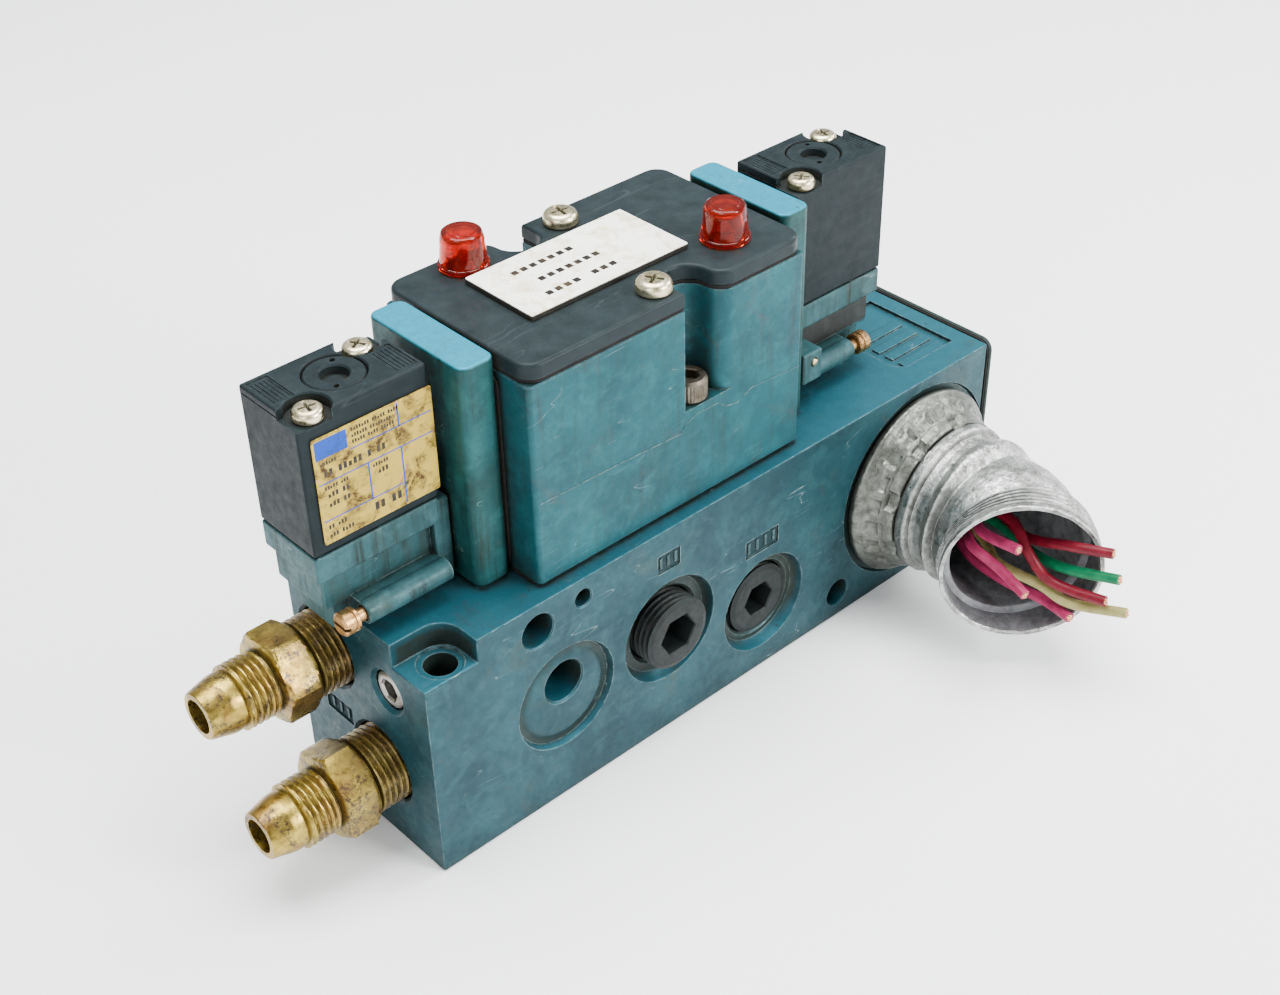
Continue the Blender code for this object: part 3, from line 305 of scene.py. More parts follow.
def moulded_plastic(name, colour, scuff, rough, grain=0.25):
    """Matt plastic: dust on top, dirt and painted shade in corners, and pale scuffed edges."""
    g = Graph(name)
    shade = g.mix(g.span(g.noise(7, 5), 0.35, 0.7), colour, [c * 1.45 for c in colour])
    dust = g.times(g.facing_up(), g.span(g.noise(4, 6, 0.7), 0.35, 0.75, 0.0, 0.55))
    shade = g.mix(dust, shade, scuff)
    # Dirt and painted shade in corners, from ambient occlusion.
    shade = g.mix(g.times(g.cavity(3), 0.5), shade, PLASTIC_DIRT_AND_SHADE)
    hair = g.scratches(6, 0.003, (8, 1, 1), (0.4, 0.2, 0.9))
    worn = g.times(g.edge(0.4), g.span(g.noise(1.4, 5, 0.7), 0.42, 0.66, 0.0, 0.65))
    shade = g.mix(g.most(worn, g.times(hair, 0.25)), shade, [c * 2.2 for c in scuff])
    g.set(Base_Color=shade,
          Roughness=g.span(g.noise(3, 5, 0.7), 0.3, 0.7, rough - 0.1, rough + 0.12))
    g.shader.inputs["IOR"].default_value = 1.2
    g.set(Normal=g.bump(g.noise(grain, 2, 0.5), 0.35, 0.04))
    return g.material


def bare_metal(name, bright, tarnish, burnt_and_shade, rough, amount, grain=0.2, burn=0.0, metallic=1.0,
               dirt_and_shade=(2.2, 0.25, 0.8), lumps=0.3, darkening_span=None, coat=1.5, heat=None, cast_and_shade=0.0):
    """Metal with patchy tarnish, corners darkened with dirt and painted shade, and shiny worn edges.

    burn adds small dark patches, heat a second tarnish colour, the cast share a dull mottled skin
    with painted shade on faces that don't face up, and the span along X darkens the metal more and
    more between its two places.
    """
    g = Graph(name)
    cover = g.span(g.noise(2.6, 6, 0.65, warp=0.5), 0.58 - 0.25 * amount, 0.78)
    colour = g.mix(cover, bright, tarnish)
    if heat:
        colour = g.mix(g.span(g.noise(6.5, 4, 0.6, warp=0.6), 0.50, 0.60, 0.0, 0.6), colour, heat)
    if cast_and_shade:
        mottle = g.span(g.noise(0.85, 4, 0.7, warp=0.4), 0.44, 0.60, 0.0, 0.75)
        # Painted shade: faces that don't face up take the tarnish colour.
        painted_side_shade = g.times(g.rest(g.facing_up()), g.span(g.noise(4, 5), 0.3, 0.7, 0.6, 1.0))
        colour = g.mix(g.times(g.most(mottle, painted_side_shade), cast_and_shade), colour, tarnish)
    # Dirt and painted shade in corners, from ambient occlusion.
    dark = g.times(g.cavity(*dirt_and_shade), 0.85)
    if burn:
        patch = g.times(g.span(g.noise(5.5, 4, 0.6, warp=0.8), 0.47, 0.58),
                        g.span(g.noise(0.8, 5, 0.75), 0.40, 0.58))
        dark = g.most(dark, g.times(patch, burn))
    # The metal darkens more and more from the first place along X to the second and stays dark beyond.
    if darkening_span:
        veil = g.times(g.span(g.split(g.place)["X"], darkening_span[0] * MM, darkening_span[1] * MM),
                       g.span(g.noise(1.5, 5, 0.7, warp=0.5), 0.25, 0.62, 0.35, 1.0))
        dark = g.most(dark, g.times(veil, 0.9))
    colour = g.mix(dark, colour, burnt_and_shade)
    worn = g.times(g.edge(0.3), g.span(g.noise(1.2, 4, 0.7), 0.35, 0.6, 0.0, 0.8))
    colour = g.mix(worn, colour, [min(1.0, c * 1.25 + 0.015) for c in bright])
    g.set(Base_Color=colour, Metallic=g.span(dark, 0.0, 1.0, metallic, 0.35),
          Roughness=g.span(g.noise(1.7, 5, 0.7), 0.3, 0.72, rough - 0.12, rough + 0.2))
    g.shader.inputs["IOR"].default_value = coat
    cast_skin = g.bump(g.noise(1.3, 5, 0.65), min(1.0, lumps), 0.12 + 0.16 * lumps)
    g.set(Normal=g.bump(g.noise(grain, 3, 0.6), 0.4, 0.05, cast_skin))
    return g.material


def printed(name, colour, stain, amount, rough=0.35):
    """Paper label or engraving plate: pale face with brown grime blotches."""
    g = Graph(name)
    blot = g.times(g.span(g.noise(4.6, 6, 0.62, warp=0.9), 0.48, 0.62),
                   g.span(g.noise(0.8, 5, 0.8), 0.28, 0.56))
    shade = g.mix(g.span(g.noise(2.4, 5), 0.35, 0.7, 0.0, 0.5), colour, [c * 0.82 for c in colour])
    shade = g.mix(g.times(blot, amount), shade, stain)
    specks = g.span(g.noise(0.6, 3, 0.8), 0.69, 0.75, 0.0, amount)
    shade = g.mix(specks, shade, PRINT_SPECK)
    g.set(Base_Color=shade, Roughness=g.span(g.noise(3), 0.3, 0.7, rough - 0.08, rough + 0.15))
    g.shader.inputs["IOR"].default_value = 1.25
    g.set(Normal=g.bump(g.noise(0.5, 3), 0.15, 0.03))
    return g.material


def lens_plastic():
    """Clear red plastic, a little cloudy, with a faint painted glow that brightens it."""
    g = Graph("lens_plastic")
    colour = g.mix(g.span(g.noise(2.5, 4), 0.35, 0.7), (0.38, 0.008, 0.001), (0.70, 0.036, 0.004))
    g.set(Base_Color=colour, Roughness=g.span(g.noise(0.8, 4), 0.35, 0.75, 0.04, 0.16))
    g.shader.inputs["Transmission Weight"].default_value = 0.92
    g.shader.inputs["IOR"].default_value = 1.3
    # Painted glow: a faint emission brightens the lens.
    g.shader.inputs["Emission Color"].default_value = (1.0, 0.07, 0.01, 1.0)
    g.shader.inputs["Emission Strength"].default_value = 0.015
    g.set(Normal=g.bump(g.noise(0.9, 3), 0.08, 0.05))
    return g.material


def insulation(name, colour, shade, specks=0.2):
    """Wire sleeve: soft plastic with dust and a few paler places, rubbed wear and painted sheen."""
    g = Graph(name)
    tint = g.mix(g.span(g.noise(2.2, 5, 0.6), 0.35, 0.7), colour, shade)
    tint = g.mix(g.span(g.noise(0.45, 4, 0.8), 0.60, 0.72, 0.0, specks), tint, WIRE_DUST)
    # Paler patches: rubbed wear and painted sheen.
    sheen_and_rub = g.span(g.noise(1.1, 5, 0.7), 0.55, 0.8, 0.0, 0.3)
    tint = g.mix(sheen_and_rub, tint, [min(1.0, c * 1.5 + 0.015) for c in colour])
    g.shader.inputs["IOR"].default_value = 1.28
    g.set(Base_Color=tint, Roughness=g.span(g.noise(1.5, 4), 0.3, 0.7, 0.3, 0.52))
    g.shader.inputs["Subsurface Weight"].default_value = 0.06
    g.shader.inputs["Subsurface Scale"].default_value = 0.0006
    g.set(Normal=g.bump(g.noise(0.5, 3, 0.6), 0.25, 0.05))
    return g.material


def make_materials():
    # Colour of grime and of painted shade for the teal finishes.
    grime_and_shade = (0.016, 0.021, 0.016)
    return {
        # Painted light: the top colour lightens the base's upper faces; sunk adds painted shade deep in its
        # recesses.
        "base_anodised": teal_finish("anodised_base", (0.0105, 0.056, 0.070), (0.022, 0.084, 0.097),
                                     (0.0045, 0.028, 0.037), grime_and_shade, 0.40, 0.46, 0.7,
                                     top=(0.014, 0.104, 0.143), sunk=corners("manifold_base")),
        # A long occlusion reach: grime and painted shade deep in the bolt slots.
        "body_painted": teal_finish("cast_body", (0.0055, 0.076, 0.091), (0.013, 0.112, 0.126),
                                    (0.0025, 0.043, 0.055), grime_and_shade, 0.25, 0.48, 0.45, 0.5,
                                    grime_and_shade_reach=12.0),
        # Painted light: the bright top colour lightens the upper faces of the end caps.
        "cap_painted": teal_finish("end_cap_finish", (0.0060, 0.066, 0.070), (0.018, 0.112, 0.106),
                                   (0.003, 0.030, 0.030), (0.007, 0.010, 0.005), 0.20, 0.46, 0.6,
                                   1.0, top=(0.006, 0.260, 0.390)),
        "pilot_cast": teal_finish("pilot_casting", (0.028, 0.092, 0.102), (0.055, 0.140, 0.152),
                                  (0.011, 0.044, 0.048), (0.010, 0.012, 0.008), 0.25, 0.5, 0.55, 0.9),
        # Painted shade: near-black casting colour for the shaded middle block of the right pilot.
        "pilot_painted_shade": teal_finish("painted_shade_casting", (0.030, 0.034, 0.034), (0.045, 0.052, 0.050),
                                   (0.016, 0.018, 0.017), (0.010, 0.009, 0.007), 0.15, 0.55, 0.3, 0.6),
        "pad_dirt": moulded_plastic("pad_dirt", (0.006, 0.018, 0.022), (0.020, 0.034, 0.036), 0.6),
        "black_plastic": moulded_plastic("cover_plastic", (0.0080, 0.0135, 0.0150),
                                         (0.024, 0.033, 0.036), 0.42),
        "housing_plastic": moulded_plastic("coil_plastic", (0.0045, 0.0085, 0.0098),
                                           (0.020, 0.029, 0.031), 0.5, 0.35),
        "end_plate": moulded_plastic("end_plate_plastic", (0.011, 0.018, 0.017),
                                     (0.032, 0.042, 0.038), 0.5, 0.3),
        "lens_red": lens_plastic(),
        "plate_cream": printed("engraving_plate", (1.0, 1.0, 0.93), (0.55, 0.40, 0.08), 0.6, 0.3),
        "plate_core": moulded_plastic("plate_core", (0.012, 0.012, 0.012), (0.05, 0.045, 0.03), 0.45),
        "label": printed("label_paper", (0.42, 0.295, 0.040), (0.035, 0.013, 0.002), 1.0, 0.42),
        "print_blue": printed("print_blue", (0.003, 0.050, 0.33), (0.02, 0.02, 0.03), 0.45),
        "print_dark": printed("print_dark", (0.016, 0.013, 0.011), (0.10, 0.07, 0.03), 0.4),
        "zinc_screw": bare_metal("zinc_screw_plating", (0.74, 0.68, 0.46), (0.38, 0.29, 0.11),
                                 (0.025, 0.018, 0.010), 0.27, 0.6, dirt_and_shade=(1.3, 0.12, 0.5)),
        "dark_steel": bare_metal("oiled_steel", (0.012, 0.016, 0.016), (0.010, 0.009, 0.008),
                                 (0.003, 0.003, 0.002), 0.5, 0.6, metallic=0.3, coat=1.25),
        "bolt_steel": bare_metal("socket_bolt_steel", (0.14, 0.125, 0.10), (0.060, 0.040, 0.024),
                                 (0.010, 0.008, 0.005), 0.45, 0.7),
        "screw_steel": bare_metal("adjusting_screw_steel", (0.42, 0.41, 0.38), (0.16, 0.15, 0.125),
                                  (0.014, 0.012, 0.009), 0.38, 0.7, dirt_and_shade=(1.5, 0.12, 0.5)),
        "brass": bare_metal("tarnished_brass", (0.47, 0.345, 0.064), (0.125, 0.078, 0.018),
                            (0.022, 0.010, 0.005), 0.31, 1.0, burn=1.0,
                            dirt_and_shade=(1.8, 0.16, 0.6), darkening_span=(-98.5, -89.0), heat=(0.25, 0.130, 0.034)),
        "pin_brass": bare_metal("pin_brass", (0.48, 0.27, 0.10), (0.24, 0.11, 0.035),
                                (0.02, 0.010, 0.005), 0.32, 0.5, burn=0.9, dirt_and_shade=(1.3, 0.12, 0.5)),
        # Painted shade: the cast share darkens the faces of the elbow and nut that don't face up.
        "cast_zinc": bare_metal("cast_zinc", (0.88, 0.91, 0.87), (0.075, 0.080, 0.068),
                                (0.012, 0.012, 0.010), 0.33, 0.9, 0.45, burn=0.75,
                                dirt_and_shade=(5.0, 0.10, 0.42), lumps=1.0, cast_and_shade=0.75),
        "nut_zinc": bare_metal("nut_zinc", (0.24, 0.255, 0.228), (0.045, 0.047, 0.038),
                               (0.014, 0.013, 0.010), 0.34, 0.8, 0.4, burn=0.5,
                               dirt_and_shade=(3.0, 0.18, 0.65), lumps=0.8, cast_and_shade=0.55),
        # Painted shade: a long occlusion reach darkens the inside of the elbow.
        "cast_bore": bare_metal("cast_bore", (0.34, 0.35, 0.365), (0.10, 0.10, 0.11),
                                (0.006, 0.007, 0.009), 0.42, 0.8, 0.45, metallic=0.5,
                                dirt_and_shade=(16.0, 0.12, 0.62), lumps=0.8),
        "gasket_rubber": moulded_plastic("gasket_rubber", (0.007, 0.007, 0.007),
                                         (0.02, 0.019, 0.017), 0.75),
        "copper": bare_metal("copper_strand", (0.74, 0.36, 0.21), (0.45, 0.19, 0.10),
                             (0.08, 0.03, 0.015), 0.3, 0.5),
        "steel": bare_metal("bright_steel", (0.55, 0.55, 0.56), (0.34, 0.33, 0.32),
                            (0.08, 0.07, 0.06), 0.28, 0.4),
        "lamp": printed("lamp_body", (0.30, 0.085, 0.025), (0.10, 0.02, 0.01), 0.6),
        "wire_red": insulation("wire_red", (0.150, 0.0040, 0.015), (0.090, 0.0022, 0.008)),
        "wire_pink": insulation("wire_pink", (0.34, 0.026, 0.095), (0.20, 0.012, 0.050)),
        "wire_green": insulation("wire_green", (0.0004, 0.150, 0.058), (0.0003, 0.085, 0.034), 0.35),
        "wire_cream": insulation("wire_cream", (0.34, 0.31, 0.12), (0.20, 0.17, 0.055), 0.9),
    }


# ---------------------------------------------------------------- mesh tools

def arc(u, v, radius, start, end, steps=10):
    angles = [math.radians(start + (end - start) * i / steps) for i in range(steps + 1)]
    return [(u + radius * math.cos(a), v + radius * math.sin(a)) for a in angles]


def rectangle(u0, u1, v0, v1, corner=0.0, steps=7):
    if not corner:
        return [(u0, v0), (u1, v0), (u1, v1), (u0, v1)]
    return (arc(u1 - corner, v0 + corner, corner, -90, 0, steps)
            + arc(u1 - corner, v1 - corner, corner, 0, 90, steps)
            + arc(u0 + corner, v1 - corner, corner, 90, 180, steps)
            + arc(u0 + corner, v0 + corner, corner, 180, 270, steps))


def place(axis, u, v, along):
    if axis == "X":
        return (along, u, v)
    if axis == "Y":
        return (u, along, v)
    return (u, v, along)


def prism(axis, outline, low, high):
    bm = bmesh.new()
    ends = [[bm.verts.new(place(axis, u, v, along)) for u, v in outline] for along in (low, high)]
    for end in ends:
        bm.faces.new(end)
    count = len(outline)
    for i in range(count):
        j = (i + 1) % count
        bm.faces.new((ends[0][i], ends[0][j], ends[1][j], ends[1][i]))
    bmesh.ops.recalc_face_normals(bm, faces=bm.faces)
    return bm


def box(x0, x1, y0, y1, z0, z1):
    return prism("Z", rectangle(x0, x1, y0, y1), z0, z1)


def plate(low, high, corner, steps=7):
    """Block between two corners with its upright edges rounded."""
    return prism("Z", rectangle(low.x, high.x, low.y, high.y, corner, steps), low.z, high.z)


def skin(rings, closed_loop=False, caps=False):
    """Join rings of points, a ring of one point being a tip."""
    bm = bmesh.new()
    loops = [[bm.verts.new(p) for p in ring] for ring in rings]
    sides = max(len(loop) for loop in loops)
    pairs = list(zip(loops, loops[1:]))
    if closed_loop:
        pairs.append((loops[-1], loops[0]))
    for first, second in pairs:
        for i in range(sides):
            j = (i + 1) % sides
            quad = [first[i % len(first)], first[j % len(first)],
                    second[j % len(second)], second[i % len(second)]]
            bm.faces.new(list(dict.fromkeys(quad)))
    if caps:
        bm.faces.new(loops[0])
        bm.faces.new(loops[-1])
    bmesh.ops.recalc_face_normals(bm, faces=bm.faces)
    return bm


def reach_at(radius, angle):
    return radius(angle) if callable(radius) else radius


def turned(axis, centre, profile, sides=64, closed_loop=False):
    """Turn (along, radius) stations about an axis; a radius may be a function of the angle.

    The centre is a point, or only its two coordinates across the axis.
    """
    if len(centre) == 3:
        centre = [value for name, value in zip("XYZ", centre) if name != axis]
    u, v = centre
    rings = []
    for along, radius in profile:
        if radius == 0:
            rings.append([place(axis, u, v, along)])
            continue
        ring = []
        for i in range(sides):
            angle = 2 * math.pi * i / sides
            reach = reach_at(radius, angle)
            ring.append(place(axis, u + reach * math.cos(angle), v + reach * math.sin(angle), along))
        rings.append(ring)
    return skin(rings, closed_loop)


def shifted(start, stations, way=1):
    """Stations counted from a place along the axis, one way or the other."""
    return [(start + way * along, radius) for along, radius in stations]


def hole(axis, centre, radius, start, end, sides=24):
    """Cutter for a plain round hole."""
    return turned(axis, centre, [(start, 0), (start, radius), (end, radius), (end, 0)], sides)


def bore(axis, centre, radius, face, inward, depth, chamfer=0.3, tip=True):
    """Cutter for a drilled hole with a chamfered mouth and a drill-point floor."""
    floor = face + inward * depth
    end = floor + inward * (radius * 0.4 if tip else 0.0)
    profile = [(face - inward, 0), (face - inward, radius + chamfer + 1),
               (face + inward * chamfer, radius), (floor, radius), (end, 0)]
    return turned(axis, centre, profile, 48)


def hex_radius(flat, limit=math.inf):
    """Hexagon with the given half width across flats, its corners turned down to a limit."""
    return lambda angle: min(limit, flat / math.cos(angle % (math.pi / 3) - math.pi / 6))


THREAD_PITCH, THREAD_STEPS = 1.41, 8


def thread(start, end, crest, depth, fade):
    """Stations of a helical thread that runs out within fade pitches of both ends."""
    count = max(2, round(abs(end - start) / THREAD_PITCH * THREAD_STEPS))
    stations = []
    for i in range(count + 1):
        along = start + (end - start) * i / count
        room = min(1.0, min(i, count - i) / (THREAD_STEPS * fade))

        def radius(angle, along=along, room=room):
            phase = (along / THREAD_PITCH - angle / (2 * math.pi)) % 1.0
            valley = max(0.0, 1 - abs(phase - 0.5) * 2.6)
            return crest - depth * valley * room
        stations.append((along, radius))
    return stations


def carve(bm, operation, *tools):
    """Boolean of one body with others, all in millimetres; returns the new mesh."""
    things = []
    for number, part in enumerate((bm, *tools)):
        mesh = bpy.data.meshes.new(f"carving_{number}")
        bmesh.ops.recalc_face_normals(part, faces=part.faces)
        part.to_mesh(mesh)
        part.free()
        things.append(new_object(f"carving_{number}", mesh))
    target = things[0]
    for tool in things[1:]:
        modifier = target.modifiers.new("carve", "BOOLEAN")
        modifier.operation = operation
        modifier.solver = "EXACT"
        modifier.object = tool
    graph = bpy.context.evaluated_depsgraph_get()
    result = bpy.data.meshes.new_from_object(target.evaluated_get(graph))
    out = bmesh.new()
    out.from_mesh(result)
    bpy.data.meshes.remove(result)
    for thing in things:
        mesh = thing.data
        bpy.data.objects.remove(thing)
        bpy.data.meshes.remove(mesh)
    return out


def soften(bm, width, segments=3, angle=40, keep=None):
    """Round the edges sharper than the angle; keep picks which of them."""
    bmesh.ops.remove_doubles(bm, verts=bm.verts, dist=0.001)
    bmesh.ops.dissolve_limit(bm, angle_limit=math.radians(1), verts=bm.verts, edges=bm.edges)
    edges = [e for e in bm.edges if len(e.link_faces) == 2
             and e.calc_face_angle(0) > math.radians(angle)
             and (keep is None or keep((e.verts[0].co + e.verts[1].co) / 2))]
    bmesh.ops.bevel(bm, geom=edges, offset=width, offset_type="OFFSET", segments=segments,
                    profile=0.5, affect="EDGES", clamp_overlap=True)
    return bm


def join(*parts):
    out = bmesh.new()
    for part in parts:
        mesh = bpy.data.meshes.new("joining")
        part.to_mesh(mesh)
        part.free()
        out.from_mesh(mesh)
        bpy.data.meshes.remove(mesh)
    return out


def add_piece(name, bm, finish, body="root", nodes=(), smooth=38):
    bmesh.ops.recalc_face_normals(bm, faces=bm.faces)
    bmesh.ops.scale(bm, vec=(MM, MM, MM), verts=bm.verts)
    mesh = bpy.data.meshes.new(name)
    bm.to_mesh(mesh)
    bm.free()
    mesh.shade_smooth()
    mesh.set_sharp_from_angle(angle=math.radians(smooth))
    thing = new_object(name, mesh)
    mesh.materials.append(FINISHES[finish])
    weights = thing.modifiers.new("face_weights", "WEIGHTED_NORMAL")
    weights.keep_sharp = True
    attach(thing, body)
    if nodes:
        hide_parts(*nodes)
    return thing


# ---------------------------------------------------------------- manifold base

BASE_LOW, BASE_HIGH = corners("manifold_base")
FRONT_FACE, BACK_FACE, LEFT_FACE, RIGHT_FACE = BASE_LOW.y, BASE_HIGH.y, BASE_LOW.x, BASE_HIGH.x
DECK = BASE_HIGH.z
NOTCH_RIGHT, NOTCH_BACK, NOTCH_FLOOR, NOTCH_RADIUS = -71.1, -12.45, 48.5, 5.2
MOUNT_HOLE, MOUNT_HOLE_RADIUS, MOUNT_SEAT_RADIUS, MOUNT_SEAT_DEPTH = (-76.4, -17.75), 3.4, 4.75, 0.25
PORT_RADIUS, PORT_DEPTH = 8.95, 16.0
COUNTERBORES = {"inlet_plug": 12.9, "exhaust_plug": 12.3}
BLANK_DISC, BLANK_RADIUS, BLANK_DEPTH = (-49.7, 26.5), 12.6, 0.7
BLANK_DRILLING, BLANK_DRILLING_RADIUS = (-49.7, 29.9), 4.9
FRONT_HOLES = (((-56.1, 47.4), 3.95), ((-44.2, 49.1), 2.05))
CROSS_HOLE, CROSS_HOLE_RADIUS = (33.0, 6.8), 3.4
PADS = ((-23.95, -17.65, 43.45, 48.15), (1.95, 12.05, 33.25, 37.95))
END_PAD, PAD_CORNER = (4.6, 13.6, 21.8, 26.4), 0.4
PAD_DEPTH, PAD_MARGIN, BAR_WIDTH, BAR_SINK, BAR_MARGIN = 0.5, 0.35, 0.7, 0.12, 1.0
FLOW_BORE_RADIUS = 4.55
CHAMBER_LEFT, CHAMBER_Y, CHAMBER_Z = 39, 16.5, (8.0, 46.0)
WIRE_DUCT, CONNECTOR_WELL = (8.5, 41, -6, 6, 30, 44.8), (10, 19, -8.5, 8.5, 40.8)
ELBOW_AXIS = (58.4, 27.0)
SPOTFACE_RADIUS, SPOTFACE_DEPTH, HUB_RADIUS, HUB_ROOM = 24.4, 0.8, 15.6, 0.4
PANEL_RIGHT, PANEL_LEFT, PANEL_FRONT, PANEL_BACK, PANEL_CORNER = 77.0, 58.5, -16.0, 9.6, 3.5
PANEL_DEPTH, PANEL_RIBS = 0.8, (-14.5, -10.3, -6.4, -1.6)
RIB_ENDS, RIB_HALF_WIDTH, RIB_SINK = (61.0, 74.6), 1.3, 0.3


def notch_outline():
    centre = (NOTCH_RIGHT - NOTCH_RADIUS, NOTCH_BACK - NOTCH_RADIUS)
    return ([(LEFT_FACE - 2, FRONT_FACE - 2), (NOTCH_RIGHT, FRONT_FACE - 2)]
            + arc(*centre, NOTCH_RADIUS, 0, 90, 12) + [(LEFT_FACE - 2, NOTCH_BACK)])


def front_cutters():
    """Mounting hole, ports, blank disc, drillings and cross hole, all cut from the front and top."""
    cuts = [bore("Z", MOUNT_HOLE, MOUNT_HOLE_RADIUS, NOTCH_FLOOR, -1, NOTCH_FLOOR + 2, 0.35, tip=False),
            hole("Z", MOUNT_HOLE, MOUNT_SEAT_RADIUS, NOTCH_FLOOR - MOUNT_SEAT_DEPTH, NOTCH_FLOOR + 1, 64)]
    for name, wide in COUNTERBORES.items():
        port = [(-1, 0), (-1, wide + 0.9), (0.35, wide - 0.25), (1.7, wide - 0.5), (2.5, wide - 1.3),
                (2.4, PORT_RADIUS + 0.7), (3.0, PORT_RADIUS), (PORT_DEPTH, PORT_RADIUS), (PORT_DEPTH, 0)]
        cuts.append(turned("Y", middle(name), shifted(FRONT_FACE, port)))
    disc = [(-1, 0), (-1, BLANK_RADIUS + 0.8), (0.25, BLANK_RADIUS), (1.5, BLANK_RADIUS - 0.4),
            (1.7, BLANK_RADIUS - 1.3), (1.4, BLANK_RADIUS - 2.1), (0.9, BLANK_RADIUS - 3.0),
            (BLANK_DEPTH, 0)]
    cuts.append(turned("Y", BLANK_DISC, shifted(FRONT_FACE, disc)))
    cuts.append(bore("Y", BLANK_DRILLING, BLANK_DRILLING_RADIUS, FRONT_FACE + BLANK_DEPTH, 1, 9, 0.5))
    cuts += [bore("Y", centre, radius, FRONT_FACE, 1, 14) for centre, radius in FRONT_HOLES]
    cuts.append(bore("Y", CROSS_HOLE, CROSS_HOLE_RADIUS, FRONT_FACE, 1, BACK_FACE - FRONT_FACE + 2,
                     tip=False))
    return cuts


def end_cutters():
    """Sunk pads and the holes in the left end."""
    cuts = [prism("Y", rectangle(*pad, PAD_CORNER, 3), FRONT_FACE - 1, FRONT_FACE + PAD_DEPTH) for pad in PADS]
    cuts.append(prism("X", rectangle(*END_PAD, PAD_CORNER, 3), LEFT_FACE - 1, LEFT_FACE + PAD_DEPTH))
    cuts.append(bore("X", middle("flow_screw"), FLOW_BORE_RADIUS, LEFT_FACE, 1, 9, 0.8))
    cuts += [bore("X", middle(name), PORT_RADIUS + 0.1, LEFT_FACE, 1, 13, 0.7, tip=False)
             for name in ("fitting_upper", "fitting_lower")]
    return cuts


def chamber_cutters():
    """The elbow's hole with its spot face, the wiring chamber and the sunk panel in the deck."""
    chamber_wall = 2 - CHAMBER_Y
    spot = shifted(FRONT_FACE, [(-1, 0), (-1, SPOTFACE_RADIUS + 0.5), (0.3, SPOTFACE_RADIUS),
                                (SPOTFACE_DEPTH, SPOTFACE_RADIUS - 0.3),
                                (SPOTFACE_DEPTH, HUB_RADIUS + HUB_ROOM)])
    spot += [(chamber_wall, HUB_RADIUS + HUB_ROOM), (chamber_wall, 0)]
    panel = [(PANEL_RIGHT, PANEL_FRONT), (PANEL_RIGHT, PANEL_BACK), (PANEL_LEFT, PANEL_BACK)]
    panel += arc(PANEL_LEFT + PANEL_CORNER, PANEL_FRONT + PANEL_CORNER, PANEL_CORNER, 180, 270, 8)
    return [turned("Y", ELBOW_AXIS, spot, 72),
            box(CHAMBER_LEFT, RIGHT_FACE + 2, -CHAMBER_Y, CHAMBER_Y, *CHAMBER_Z), box(*WIRE_DUCT),
            box(*CONNECTOR_WELL, DECK + 2), prism("Z", panel, DECK - PANEL_DEPTH, DECK + 2)]


def manifold_base():
    block = box(LEFT_FACE, RIGHT_FACE, FRONT_FACE, BACK_FACE, 0, DECK)
    block = carve(block, "DIFFERENCE", prism("Z", notch_outline(), NOTCH_FLOOR, DECK + 2))
    block = carve(soften(block, 0.45, 2), "DIFFERENCE", *front_cutters(), *end_cutters(),
                  *chamber_cutters())
    ribs = [soften(box(*RIB_ENDS, y - RIB_HALF_WIDTH, y + RIB_HALF_WIDTH, DECK - PANEL_DEPTH - 1,
                       DECK - RIB_SINK), 0.25, 2) for y in PANEL_RIBS]
    block = carve(block, "UNION", *ribs)
    add_piece("base_block", block, "base_anodised", nodes=["manifold_base"])
    pad_fillings()


def pad_fillings():
    """Dark floor of each sunk pad with a few plain raised bars standing on it."""
    floors, bars = [], []
    for x0, x1, z0, z1 in PADS:
        floors.append(box(x0 + PAD_MARGIN, x1 - PAD_MARGIN, FRONT_FACE + PAD_DEPTH - 0.05,
                          FRONT_FACE + PAD_DEPTH + 0.2, z0 + PAD_MARGIN, z1 - PAD_MARGIN))
        count = round((x1 - x0) / 2.4)
        for i in range(count):
            start = x0 + (x1 - x0) * (i + 0.5) / count - BAR_WIDTH / 2
            bars.append(box(start, start + BAR_WIDTH, FRONT_FACE + BAR_SINK, FRONT_FACE + PAD_DEPTH,
                            z0 + BAR_MARGIN, z1 - BAR_MARGIN))
    y0, y1, z0, z1 = END_PAD
    floors.append(box(LEFT_FACE + PAD_DEPTH - 0.05, LEFT_FACE + PAD_DEPTH + 0.2, y0 + PAD_MARGIN,
                      y1 - PAD_MARGIN, z0 + PAD_MARGIN, z1 - PAD_MARGIN))
    for i in range(3):
        start = y0 + 1.4 + 2.6 * i
        bars.append(box(LEFT_FACE + BAR_SINK, LEFT_FACE + PAD_DEPTH, start, start + BAR_WIDTH,
                        z0 + BAR_MARGIN, z1 - BAR_MARGIN))
    add_piece("pad_floors", join(*floors), "pad_dirt")
    add_piece("pad_bars", join(*[soften(bar, 0.1, 1) for bar in bars]), "base_anodised")


def end_plates():
    for name, finish, node, slot, rounding in (
            ("end_seal", "gasket_rubber", "end_gasket", "gasket_rubber", 0.12),
            ("end_plate", "end_plate", "end_cover", "black_plastic", 0.35)):
        low, high = corners(node)
        outline = rectangle(low.y, high.y, low.z + 0.15, high.z, 3.0)
        sheet = soften(prism("X", outline, low.x, high.x), rounding, 2)
        cuts = [hole("X", middle(f"end_cover_screw_{n}"), 1.8, low.x - 1, high.x + 1) for n in (1, 2)]
        if node == "end_gasket":
            cuts.append(box(low.x - 1, high.x + 1, -CHAMBER_Y, CHAMBER_Y, *CHAMBER_Z))
        add_piece(name, carve(sheet, "DIFFERENCE", *cuts), finish, nodes=[node])


